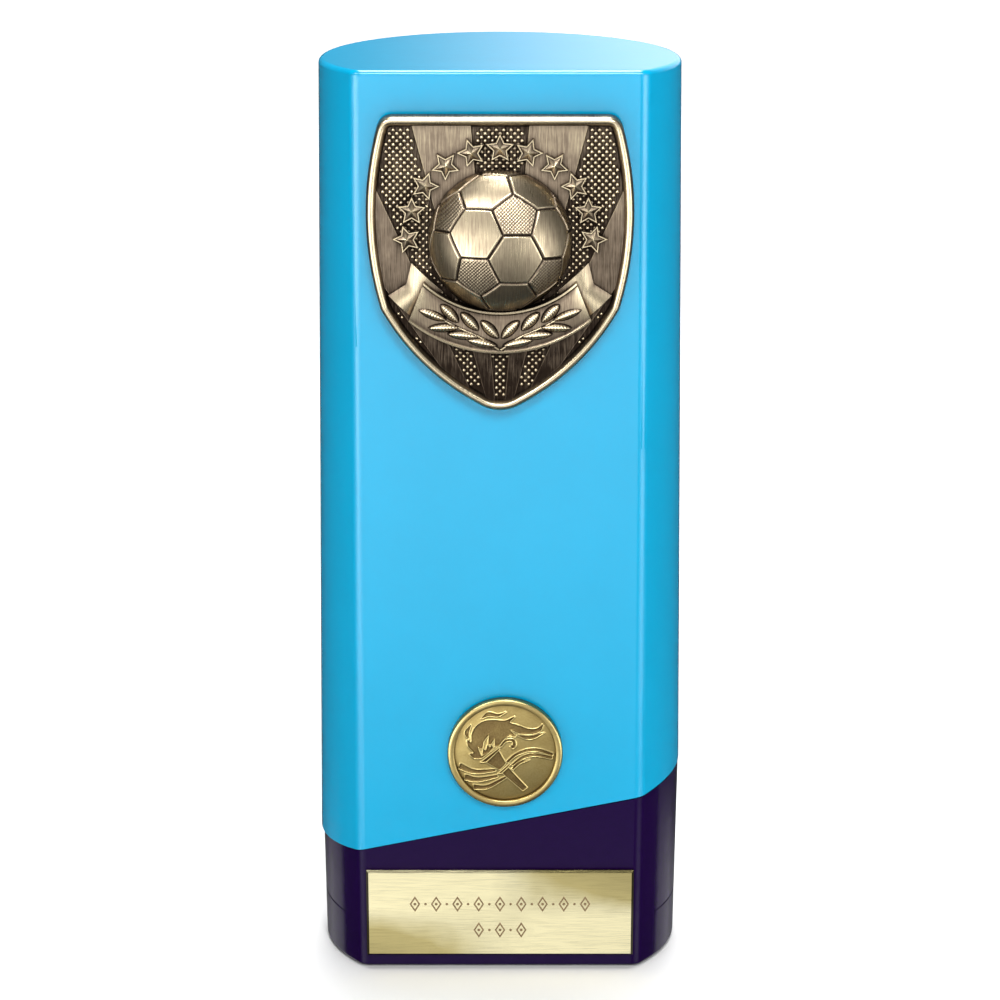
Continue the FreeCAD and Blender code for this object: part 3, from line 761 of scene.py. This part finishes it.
def add_leaf(pile, settings, side, centre, length, width, angle, level):
    """Pointed plump leaf with a middle ridge and fine side veins, and a dark groove where
    it meets the ribbon."""
    along, across = 41, 13
    heading = math.radians(angle)
    points, polish = [], []
    for i in range(along):
        a = -1 + 2 * i / (along - 1)
        half = width / 2 * (1 - a * a) ** 0.65
        for j in range(across):
            b = -1 + 2 * j / (across - 1)
            vein = 0.5 + 0.5 * math.cos(2 * math.pi * (a * 5 + abs(b) * 0.6))
            body = (1 - abs(b) ** 1.6) ** 0.8 * (1 - a * a) ** 0.4
            lift = settings.leaf_rise * body * (0.8 + 0.12 * vein + 0.08 * (1 - abs(b)))
            x, y = a * length / 2, b * half
            points.append((side * (centre[0] + x * math.cos(heading) - y * math.sin(heading)),
                           centre[1] + x * math.sin(heading) + y * math.cos(heading),
                           level + lift))
            polish.append(-0.5 + 1.6 * min(1, body * 1.25) * (0.78 + 0.22 * vein))
    pile.add(points, grid_faces(along, across), polish)


def build_shield_laurel(settings, finish, axes):
    """Two sprigs of laurel on the ribbon that meet at its middle."""
    pile = Pile()
    level = settings.ribbon_level - 0.12 * MM
    for side in (-1, 1):
        for k in range(3):
            upper = np.array((2.1 + 4.15 * k, -18.3 + 1.7 * k)) * MM
            lower = np.array((3.7 + 3.95 * k, -21.1 + 1.6 * k)) * MM
            add_leaf(pile, settings, side, upper, 5.4 * MM, 2.5 * MM, 45, level)
            add_leaf(pile, settings, side, lower, 6.6 * MM, 2.1 * MM, 12 - 6.5 * k, level)
        add_leaf(pile, settings, side, np.array((13.9, -15.2)) * MM, 6.4 * MM, 2.1 * MM, 21,
                 level)
        stem = smooth_curve([(0.2, -22.6), (4.0, -20.0), (8.4, -18.0), (12.0, -16.1)], 30)
        add_bead_line(pile, stem * (side, 1) * MM, 0.26 * MM, level, 0.45 * MM)
    axes = axes @ Matrix.Translation((0, settings.ribbon_up, 0))
    return pile.piece("shield_laurel", finish, axes, "antique_casting")


def add_bead_line(pile, line, half_width, level, rise):
    """Rounded raised line along a path."""
    points, polish = [], []
    for place, across in zip(line, left_of(line)):
        for angle in np.linspace(0, math.pi, 7):
            x, y = place + across * half_width * math.cos(angle)
            points.append((x, y, level + rise * math.sin(angle)))
            polish.append(0.1 + 0.9 * math.sin(angle))
    pile.add(points, grid_faces(len(line), 7), polish)


# ------------------------------------------------------------------ centre disc

def tapered_stroke(points, widths):
    """Closed outline of a brush stroke along a smooth curve."""
    line = smooth_curve(points, 36)
    half = smooth_curve([(0, w) for w in widths], 36)[:, 1].clip(0.02, None) / 2
    reach = left_of(line) * half[:, None]
    return np.vstack([line + reach, (line - reach)[::-1]])


def torch_shapes():
    """Shapes of the disc, in millimetres about its centre. Sunk: a torch, the flame that
    blows back from it, and wavy bands on both sides. Raised within the flame: tongues."""
    flame = smooth_curve([(-5.1, -1.1), (-6.6, -1.2), (-7.6, -0.3), (-6.8, 0.1), (-8.0, 1.6),
                          (-8.1, 2.9), (-7.3, 2.4), (-7.2, 4.3), (-6.3, 6.1), (-4.6, 7.3),
                          (-2.4, 7.6), (0.0, 7.5), (2.1, 8.4), (1.0, 7.1), (2.9, 6.4),
                          (5.0, 5.6), (6.9, 5.6), (8.2, 6.5), (7.5, 5.0), (5.6, 4.4),
                          (3.6, 4.5), (1.2, 5.3), (2.3, 3.9), (0.9, 4.1), (-0.3, 3.3),
                          (-1.4, 1.9), (-3.2, 0.5)], 300)
    tongues = smooth_curve([(-5.2, -0.8), (-5.9, 1.4), (-5.0, 1.1), (-4.6, 2.8), (-3.5, 4.2),
                            (-3.6, 2.3), (-3.1, 2.2), (-2.3, 3.3), (-2.2, 2.0), (-1.9, 1.6)],
                           120)
    sparks = np.array([(-4.9, -0.5), (-4.7, 0.9), (-4.1, 0.6), (-3.8, 1.9), (-3.3, 1.2),
                       (-2.9, 1.9), (-2.6, 1.3), (-3.6, 0.3)])
    cup = np.array([(-3.9, -2.1), (-1.4, 0.6), (0.1, -2.3), (-1.2, -3.8)])
    lip = np.array([(-5.2, -2.1), (-1.2, 1.3), (-1.3, 0.9), (-4.3, -2.0)])
    collar = np.array([(-1.4, -4.7), (1.1, -2.3), (1.0, -2.7), (-0.9, -4.6)])
    handle = np.array([(-0.5, -4.6), (0.7, -3.4), (4.7, -8.1), (3.9, -8.8)])
    licks = [tapered_stroke([(-7.4, 6.4), (-8.3, 4.6), (-7.8, 3.2)], (0.1, 0.8, 0.05)),
             tapered_stroke([(-5.1, 7.9), (-3.6, 8.9), (-1.6, 8.7), (0.2, 9.4)],
                            (0.1, 0.8, 0.5, 0.05)),
             tapered_stroke([(2.6, 4.2), (5.4, 3.6), (8.5, 4.6)], (0.1, 0.7, 0.05)),
             tapered_stroke([(-1.0, 1.6), (0.1, 2.9), (1.7, 3.0), (2.0, 1.9), (1.4, 1.4)],
                            (0.25, 0.35, 0.5, 0.6, 0.7))]
    bands = [tapered_stroke([(-9.9, -3.1), (-6.6, -4.3), (-2.1, -3.9)], (1.3, 0.9, 0.5)),
             tapered_stroke([(-8.7, -5.7), (-5.9, -6.2), (-1.7, -5.3)], (1.3, 1.0, 0.5)),
             tapered_stroke([(-6.8, -8.0), (-3.9, -7.9), (0.1, -5.6)], (1.1, 0.8, 0.4)),
             tapered_stroke([(0.4, -2.0), (2.3, -0.3), (4.9, 0.7), (7.6, 0.6), (10.4, -0.5)],
                            (0.4, 0.5, 0.6, 0.6, 0.5)),
             tapered_stroke([(1.5, -2.7), (3.9, -0.9), (6.6, -0.4), (10.2, -1.2)],
                            (0.3, 0.6, 0.6, 0.5)),
             tapered_stroke([(1.6, -3.7), (3.0, -2.2), (5.2, -1.5)], (0.3, 0.5, 0.05))]
    return [flame, cup, lip, collar, handle, *licks, *bands], [tongues], [sparks]


def build_disc_rim(settings, finish, axes):
    """Flat-topped rim of the disc, with its outer edge eased and a sharp inner step."""
    radius, width, height = settings.radius, settings.rim_width, settings.thickness
    profile = [(width * 1.3, 0.0, 0.0), (0.0, 0.0, 0.2), (0.0, 0.78, 0.5), (0.08, 0.92, 0.85),
               (0.2, 0.99, 0.85), (0.5, 1.0, 0.6), (0.86, 1.0, 0.62), (0.93, 0.97, 1.0),
               (0.98, 0.85, 0.5), (1.02, 0.62, 0.0)]
    count = 192
    turn = around(count)
    points, polish = [], []
    for order, (across, rise, shine) in enumerate(profile):
        reach = radius - (across if order == 0 else across * width)
        points += [(reach * math.cos(a), reach * math.sin(a), rise * height) for a in turn]
        polish += [shine] * count
    pile = Pile()
    pile.add(points, grid_faces(len(profile), count, wrap=True), polish)
    return pile.piece("disc_rim", finish, axes, "disc_metal")


def build_disc_face(settings, finish, axes):
    """Struck face of the disc: a satin ground with the torch sunk into it and a raised
    line round each sunk shape."""
    step = settings.relief_step
    reach = settings.radius - settings.rim_width * 0.7
    half = int(reach / step)
    axis = np.arange(-half, half + 1) * step
    x, y = np.meshgrid(axis, axis)
    places = np.column_stack([x.ravel(), y.ravel()])
    sunk_shapes, raised_shapes, inner_shapes = torch_shapes()
    depth = np.full(len(places), -np.inf)
    for shape in sunk_shapes:
        depth = np.maximum(depth, distance_inside(places / MM, shape))
    for shape in raised_shapes:
        depth = np.minimum(depth, -distance_inside(places / MM, shape))
    for shape in inner_shapes:
        depth = np.maximum(depth, distance_inside(places / MM, shape))
    slope, line_half = 0.16, 0.11
    sunk = np.clip(depth / slope, 0, 1)
    sunk = sunk * sunk * (3 - 2 * sunk)
    line = np.exp(-((depth + line_half) / line_half) ** 2)
    dome = settings.dome * (1 - (np.linalg.norm(places, axis=1) / reach) ** 2)
    height = settings.field_level + dome - sunk * settings.sink + line * settings.line_rise
    polish = 0.55 - 0.34 * sunk + 0.45 * line
    keep = np.linalg.norm(places, axis=1) < reach
    number = np.cumsum(keep) - 1
    width = len(axis)
    faces = [tuple(number[list(face)]) for face in grid_faces(width, width)
             if keep[list(face)].all()]
    points = np.column_stack([places, height])[keep]
    return make_piece("disc_face", points, faces, finish, axes, polish[keep])


# ------------------------------------------------------------------ plate engraving

def build_plate_engraving(settings, finish, axes):
    """Generic engraved ornament in two centred rows: outlined lozenges with dots between
    them, cut as fine lines."""
    pile = Pile()
    level, line = settings.level, settings.line_width
    for row_y, count in ((settings.upper_row, 9), (settings.lower_row, 3)):
        pitch = settings.pitch
        for index in range(count):
            x = (index - (count - 1) / 2) * pitch
            add_engraved_lozenge(pile, x, row_y, settings.lozenge, line, level)
            if index < count - 1:
                add_engraved_dot(pile, x + pitch / 2, row_y, line * 0.9, level)
    return pile.piece("plate_engraving", finish, axes, "plate_metal")


def add_engraved_lozenge(pile, x, y, size, line, level):
    """Lozenge drawn with one fine line, with a dot in its middle."""
    outer = np.array(((x, y + size), (x + size * 0.62, y), (x, y - size), (x - size * 0.62, y)))
    inner = inset(outer, line)
    points = [(*p, level) for p in outer] + [(*p, level) for p in inner]
    pile.add(points, grid_faces(2, 4, wrap=True), 0.0)
    add_engraved_dot(pile, x, y, line, level)


def add_engraved_dot(pile, x, y, radius, level):
    """Small filled dot."""
    turn = around(12)
    points = [(x + radius * math.cos(a), y - radius * math.sin(a), level) for a in turn]
    pile.add(points, [tuple(range(12))], 0.0)


# ------------------------------------------------------------------ stage

def make_light(name, place, target, size, power, spread, diffuse):
    """Soft white rectangular light that faces a target."""
    data = bpy.data.lights.new(name, "AREA")
    data.shape = "RECTANGLE"
    data.size, data.size_y = size
    data.energy = power
    data.spread = math.radians(spread)
    lamp = bpy.data.objects.new(name, data)
    lamp.visible_camera = False
    lamp.visible_diffuse = diffuse
    lamp.location = place
    lamp.rotation_euler = (Vector(target) - lamp.location).to_track_quat("-Z", "Y").to_euler()
    bpy.context.scene.collection.objects.link(lamp)


def make_stage_mesh(name, points, faces, material):
    """Mesh that belongs to the stage and that reflections don't see."""
    piece = make_object(name, points, faces, material)
    piece.visible_glossy = False
    return piece


def make_floor_and_backdrop(material):
    """Large level floor, and a tall round wall that only the camera sees, so that it
    neither lights nor shades the trophy."""
    reach = 2.2
    corners = [(-reach, -reach, 0), (reach, -reach, 0), (reach, reach, 0), (-reach, reach, 0)]
    make_stage_mesh("floor", corners, [(0, 1, 2, 3)], material)
    radius, height, count = 2.15, 3.4, 96
    turn = around(count)
    points = [(radius * math.cos(a), radius * math.sin(a), level)
              for level in (0.0, height) for a in turn]
    wall = make_stage_mesh("backdrop", points, grid_faces(2, count, wrap=True), material)
    wall.visible_diffuse = wall.visible_shadow = False


def matt_paper(name, colour):
    """Matt studio paper."""
    material, tree = start_material(name)
    paper = add_node(tree, "ShaderNodeBsdfPrincipled", {
        "Base Color": colour, "Roughness": 0.9, "Specular IOR Level": 0.1})
    return finish_material(material, paper)


def light_surroundings(settings):
    """Plain studio surroundings. Reflections see bands low in front that are brightest at
    both sides, a back that brightens from left to right above the horizon, and low lamps
    behind on both sides."""
    world = bpy.data.worlds.new("studio")
    bpy.context.scene.world = world
    world.use_nodes = True
    tree = world.node_tree
    tree.nodes.clear()
    heading = add_node(tree, "ShaderNodeTexCoord")
    parts = add_node(tree, "ShaderNodeSeparateXYZ", {"Vector": heading.outputs["Generated"]})
    rise = add_node(tree, "ShaderNodeMapRange", {
        "Value": parts.outputs["Z"], "From Min": -0.5, "From Max": 0.5})
    band = add_node(tree, "ShaderNodeValToRGB", {"Fac": rise}, stops=[
        (0.0, 0.05), (1.0, 0.05), (0.03, 0.42), (0.07, 0.40), (0.095, 0.04), (0.125, 0.13),
        (0.19, 0.47), (0.33, 0.93), (0.45, 0.75), (0.6, 0.12)])
    front = add_node(tree, "ShaderNodeMapRange", {
        "Value": parts.outputs["Y"], "From Min": -0.15, "From Max": -0.5,
        "To Min": 0.0, "To Max": settings.front_glow}, interpolation_type="SMOOTHSTEP")
    sideways = add_node(tree, "ShaderNodeMapRange", {
        "Value": parts.outputs["X"], "From Min": -1.0, "From Max": 1.0})
    strips = add_node(tree, "ShaderNodeValToRGB", {"Fac": sideways}, stops=[
        (0.0, 0.2), (1.0, 0.2), (0.07, 0.25), (0.17, 1.0), (0.27, 0.9), (0.38, 0.45),
        (0.53, 0.32), (0.58, 0.05), (0.66, 0.1), (0.77, 0.75), (0.86, 0.75), (0.94, 0.25)])
    front_lamp = add_node(tree, "ShaderNodeMath", {0: strips, 1: front}, operation="MULTIPLY")
    front_light = add_node(tree, "ShaderNodeMath", {
        0: band, 1: front_lamp}, operation="MULTIPLY")
    across = add_node(tree, "ShaderNodeMapRange", {
        "Value": parts.outputs["X"], "From Min": -0.07, "From Max": 0.09,
        "To Min": settings.back_left, "To Max": settings.back_right},
        interpolation_type="SMOOTHSTEP")
    behind = add_node(tree, "ShaderNodeMapRange", {
        "Value": parts.outputs["Y"], "From Min": 0.2, "From Max": 0.8},
        interpolation_type="SMOOTHSTEP")
    above = add_node(tree, "ShaderNodeMapRange", {
        "Value": parts.outputs["Z"], "From Min": -0.02, "From Max": 0.08,
        "To Min": 0.0, "To Max": across}, interpolation_type="SMOOTHSTEP")
    back_light = add_node(tree, "ShaderNodeMath", {0: above, 1: behind}, operation="MULTIPLY")
    low = add_node(tree, "ShaderNodeMapRange", {
        "Value": parts.outputs["Z"], "From Min": -0.40, "From Max": -0.42,
        "To Min": 0.0, "To Max": settings.low_lamps})
    flank_lamps = add_node(tree, "ShaderNodeValToRGB", {"Fac": parts.outputs["Y"]}, stops=[
        (0.39, 0.0), (0.9, 0.12), (0.45, 1.0), (0.69, 0.85), (0.8, 0.3)])
    flank_light = add_node(tree, "ShaderNodeMath", {
        0: flank_lamps, 1: low}, operation="MULTIPLY")
    level = settings.room
    for light in (front_light, back_light, flank_light):
        level = add_node(tree, "ShaderNodeMath", {0: level, 1: light}, operation="ADD")
    sky = add_node(tree, "ShaderNodeBackground", {"Color": srgb("#ffffff"), "Strength": level})
    add_node(tree, "ShaderNodeOutputWorld", {"Surface": sky})


# ------------------------------------------------------------------ settings

def length_property(name, description, millimetres):
    """Length setting, stored in metres."""
    return bpy.props.FloatProperty(name=name, description=description,
                                   default=millimetres * MM, unit="LENGTH",
                                   subtype="DISTANCE", precision=5)


def angle_property(name, description, degrees):
    """Angle setting, stored in radians."""
    return bpy.props.FloatProperty(name=name, description=description,
                                   default=math.radians(degrees), unit="ROTATION",
                                   subtype="ANGLE", precision=4)


def number_property(name, description, value):
    """Plain number."""
    return bpy.props.FloatProperty(name=name, description=description, default=value)


def colour_property(name, description, code):
    """Colour setting from an sRGB hex value."""
    return bpy.props.FloatVectorProperty(name=name, description=description, size=4, min=0,
                                         max=1, subtype="COLOR", default=srgb(code))


class TrophyMouldingSettings(bpy.types.PropertyGroup):
    shell_colour: colour_property("Column", "Pigment of the column's plastic", "#00a1ce")
    base_colour: colour_property("Base", "Pigment of the base's plastic", "#1a0535")
    felt_colour: colour_property("Felt", "Dye of the felt under the base", "#17161a")
    foam_colour: colour_property("Foam", "Colour of the foam tape", "#e6e5e0")
    steel_colour: colour_property("Screws", "Colour of the plated steel", "#c3c6ca")
    iron_colour: colour_property("Weight", "Colour of the cast iron", "#3b3a3b")


class TrophyShieldSettings(bpy.types.PropertyGroup):
    rim_width: length_property("Rim width", "Width of the raised rim", 2.3)
    rim_height: length_property("Rim height", "Top of the rim above the shield's back", 3.55)
    ground_level: length_property("Ground", "Level of the sunk ground", 1.9)
    ray_level: length_property("Rays", "Level of the smooth rays", 2.3)
    ray_start: length_property("Ray start", "Where the rays start, from the ball", -44.5)
    ray_angle: angle_property("Ray angle", "Angle of one ray", 9.8)
    pebble_pitch: length_property("Bead pitch", "Spacing of the beads in a row", 1.5)
    pebble_radius: length_property("Bead radius", "Radius of a bead", 0.5)
    pebble_rise: length_property("Bead rise", "Height of a bead", 0.42)
    ball_radius: length_property("Ball radius", "Radius of the ball", 14.8)
    ball_rise: length_property("Ball rise", "How far the ball stands out", 7.9)
    ball_lift: length_property("Ball lift", "Height of the ball's upright foot", 0.9)
    ball_up: length_property("Ball up", "How far the ball is above the shield's centre", 0.45)
    seam_width: length_property("Seam width", "Half width of the ball's seams", 0.24)
    seam_depth: length_property("Seam depth", "Depth of the ball's seams", 0.5)
    knurl_pitch: length_property("Knurl pitch", "Spacing of the knurled dots", 0.75)
    knurl_depth: length_property("Knurl depth", "Height of the knurled dots", 0.07)
    star_count: bpy.props.IntProperty(name="Stars", description="Number of stars",
                                      default=11, min=3, max=15)
    star_ring: length_property("Star ring", "Radius of the arc of stars", 19.1)
    star_up: length_property("Stars up", "How far the arc is above the centre", 0.5)
    star_radius: length_property("Star radius", "Radius of one star", 3.1)
    star_level: length_property("Star border", "Level of the stars' borders", 3.3)
    star_peak: length_property("Star peak", "Level of the stars' middles", 3.8)
    star_span: angle_property("Star arc", "Angle between the first and last star", 178.0)
    ribbon_level: length_property("Ribbon level", "Top of the ribbon", 4.8)
    ribbon_up: length_property("Ribbon up", "How far the ribbon is moved up", 0.6)
    tail_rise: length_property("Tail rise", "Height of the ribbon's tails", 1.9)
    leaf_rise: length_property("Leaf rise", "Height of the laurel leaves", 1.05)
    dark: colour_property("Recess", "Colour left in the hollows", "#261e18")
    middle: colour_property("Ground tone", "Colour of brushed low places", "#857665")
    bright: colour_property("High places", "Colour of the places brushed bare", "#cfc0a0")


class TrophyDiscSettings(bpy.types.PropertyGroup):
    radius: length_property("Radius", "Radius of the disc", 12.5)
    thickness: length_property("Thickness", "Height of the disc's rim", 1.8)
    rim_width: length_property("Rim width", "Width of the flat rim", 1.5)
    field_level: length_property("Face level", "Level of the struck face's edge", 0.85)
    dome: length_property("Dome", "How far the face swells at its middle", 0.7)
    sink: length_property("Sink", "Depth of the sunk shapes", 0.3)
    line_rise: length_property("Line rise", "Height of the line round a shape", 0.12)
    relief_step: length_property("Relief step", "Spacing of the relief's points", 0.1)
    dark: colour_property("Hollows", "Colour in the sunk shapes", "#5e4a30")
    middle: colour_property("Face", "Colour of the satin face", "#a8935c")
    bright: colour_property("Lines", "Colour of the raised lines", "#d2c085")


class TrophyPlateSettings(bpy.types.PropertyGroup):
    colour: colour_property("Plate", "Colour of the anodised plate", "#faf0c2")
    # Painted shade: the deep gold at two corners of the plate stands in for a darker reflection.
    painted_shade_gold: colour_property("Deep gold", "Colour at two corners of the plate", "#b4a772")
    engraved: colour_property("Engraving", "Colour of the engraved lines", "#7c6748")
    line_width: length_property("Line", "Width of an engraved line", 0.34)
    lozenge: length_property("Lozenge", "Half height of a lozenge", 1.9)
    pitch: length_property("Pitch", "Spacing of the lozenges", 4.7)
    upper_row: length_property("Upper row", "Height of the upper row", 2.3)
    lower_row: length_property("Lower row", "Height of the lower row", -4.0)
    level: length_property("Level", "Engraving's level over the pad", 1.004)


class TrophyStageSettings(bpy.types.PropertyGroup):
    camera_distance: length_property("Camera distance", "From the trophy's axis", 609.0)
    camera_height: length_property("Camera height", "Above the floor", 292.8)
    camera_tilt: angle_property("Camera tilt", "Below level", 17.3434325)
    camera_lens: number_property("Lens", "Focal length in millimetres", 104.7)
    floor_colour: colour_property("Floor", "Colour of the floor", "#e6e6e6")
    room: number_property("Room", "Light from all sides", 0.06)
    front_glow: number_property("Front glow", "Light of the low bands in front", 7.6)
    back_left: number_property("Back left", "Light of the back's left", 0.05)
    back_right: number_property("Back right", "Light of the back's right", 1.4)
    low_lamps: number_property("Low lamps", "Light of low lamps behind on both sides", 0.95)


# ------------------------------------------------------------------ operators

def dress(material, *nodes):
    """Give CAD nodes a finished material."""
    for name in nodes:
        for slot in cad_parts[name].material_slots:
            slot.material = material


class TROPHY_OT_mouldings(bpy.types.Operator):
    """Finish the column, the base, the felt and everything inside"""

    bl_idname = "trophy.mouldings"
    bl_label = "Mouldings and hidden parts"

    def execute(self, context):
        settings = context.scene.trophy_moulding
        shell = polished_abs("ABS moulded sky blue", settings.shell_colour, 0.12, 0.5)
        base = polished_abs("ABS moulded deep purple", settings.base_colour, 0.12, 0.11)
        dress(shell, "column_shell")
        dress(base, "base_cup")
        dress(pressed_felt("Wool felt pressed", settings.felt_colour), "felt_pad")
        dress(foam_tape("Polyethylene foam tape", settings.foam_colour),
              "badge_pad", "disc_pad", "plate_pad", "ballast_pad")
        dress(zinc_plated_steel("Steel turned and zinc plated", settings.steel_colour),
              "assembly_screws", "assembly_washers", "ballast_screws")
        dress(sand_cast_iron("Iron sand cast and oiled", settings.iron_colour),
              "ballast_block")
        return {"FINISHED"}


class TROPHY_OT_shield(bpy.types.Operator):
    """Build the cast shield with its rim, rays, beads, ball, stars, ribbon and laurel"""

    bl_idname = "trophy.shield"
    bl_label = "Shield badge"

    def execute(self, context):
        settings = context.scene.trophy_shield
        tones = (settings.dark, settings.middle, settings.bright)
        finish = relieved_metal("Zinc casting bronze plated and brushed back", tones,
                                0.16 * MM, 26, 0.16)
        axes = axes_on_front("badge_pad", SHELL_LEAN, (PAD_BELOW - PAD_ABOVE) / 2)
        outline = shield_outline(420)
        pieces = [build_shield_rim(settings, outline, finish, axes),
                  build_shield_field(settings, outline, finish, axes),
                  build_shield_pebbles(settings, outline, finish, axes),
                  build_shield_ball(settings, finish, axes),
                  build_shield_stars(settings, finish, axes),
                  build_shield_ribbon(settings, finish, axes),
                  build_shield_laurel(settings, finish, axes)]
        for piece in pieces:
            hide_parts("shield_badge")
        return {"FINISHED"}


class TROPHY_OT_disc(bpy.types.Operator):
    """Build the struck centre disc with its torch"""

    bl_idname = "trophy.disc"
    bl_label = "Centre disc"

    def execute(self, context):
        settings = context.scene.trophy_disc
        tones = (settings.dark, settings.middle, settings.bright)
        finish = relieved_metal("Brass struck and antiqued", tones, 0.22 * MM, 1.5, 0.09)
        axes = axes_on_front("disc_pad", SHELL_LEAN)
        for piece in (build_disc_rim(settings, finish, axes),
                      build_disc_face(settings, finish, axes)):
            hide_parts("centre_disc")
        return {"FINISHED"}


class TROPHY_OT_plate(bpy.types.Operator):
    """Finish the engraving plate and cut its ornament"""

    bl_idname = "trophy.plate"
    bl_label = "Engraving plate"

    def execute(self, context):
        settings = context.scene.trophy_plate
        dress(anodised_plate("Aluminium polished and anodised", settings.colour,
                             settings.painted_shade_gold), "engraving_plate")
        fill = engraving_fill("Laser oxide", settings.engraved)
        build_plate_engraving(settings, fill, axes_on_front("plate_pad", BASE_LEAN))
        return {"FINISHED"}


class TROPHY_OT_stage(bpy.types.Operator):
    """Set the floor, the lights and the camera"""

    bl_idname = "trophy.stage"
    bl_label = "Studio"

    def execute(self, context):
        scene = context.scene
        settings = scene.trophy_stage
        scene.view_settings.view_transform = "Standard"
        make_floor_and_backdrop(matt_paper("Studio paper", settings.floor_colour))
        light_surroundings(settings)
        for name, light in LIGHTS.items():
            make_light(name, *light)
        data = bpy.data.cameras.new("camera")
        data.sensor_width = 36
        data.lens = settings.camera_lens
        data.clip_start, data.clip_end = 0.01, 50
        camera = bpy.data.objects.new("camera", data)
        camera.location = (0, -settings.camera_distance, settings.camera_height)
        camera.rotation_euler = (math.pi / 2 - settings.camera_tilt, 0, 0)
        scene.collection.objects.link(camera)
        scene.camera = camera
        return {"FINISHED"}


class TROPHY_PT_panel(bpy.types.Panel):
    """Lists every step of the trophy"""

    bl_idname = "TROPHY_PT_panel"
    bl_label = "Column trophy"
    bl_space_type = "VIEW_3D"
    bl_region_type = "UI"
    bl_category = "Trophy"

    def draw(self, context):
        for step, group in STEPS:
            self.layout.operator(step.bl_idname)
            settings = getattr(context.scene, group)
            for name in type(settings).__annotations__:
                self.layout.prop(settings, name)


GROUPS = {
    "trophy_moulding": TrophyMouldingSettings,
    "trophy_shield": TrophyShieldSettings,
    "trophy_disc": TrophyDiscSettings,
    "trophy_plate": TrophyPlateSettings,
    "trophy_stage": TrophyStageSettings,
}

STEPS = (
    (TROPHY_OT_mouldings, "trophy_moulding"),
    (TROPHY_OT_shield, "trophy_shield"),
    (TROPHY_OT_disc, "trophy_disc"),
    (TROPHY_OT_plate, "trophy_plate"),
    (TROPHY_OT_stage, "trophy_stage"),
)


def register():
    for name, group in GROUPS.items():
        bpy.utils.register_class(group)
        setattr(bpy.types.Scene, name, bpy.props.PointerProperty(type=group))
    for step, _ in STEPS:
        bpy.utils.register_class(step)
    bpy.utils.register_class(TROPHY_PT_panel)


def unregister():
    bpy.utils.unregister_class(TROPHY_PT_panel)
    for step, _ in STEPS:
        bpy.utils.unregister_class(step)
    for name, group in GROUPS.items():
        delattr(bpy.types.Scene, name)
        bpy.utils.unregister_class(group)


def main():
    """Build the whole trophy."""
    register()
    bpy.ops.trophy.mouldings()
    bpy.ops.trophy.shield()
    bpy.ops.trophy.disc()
    bpy.ops.trophy.plate()
    bpy.ops.trophy.stage()
    bpy.context.view_layer.update()


if __name__ == "__main__":
    main()
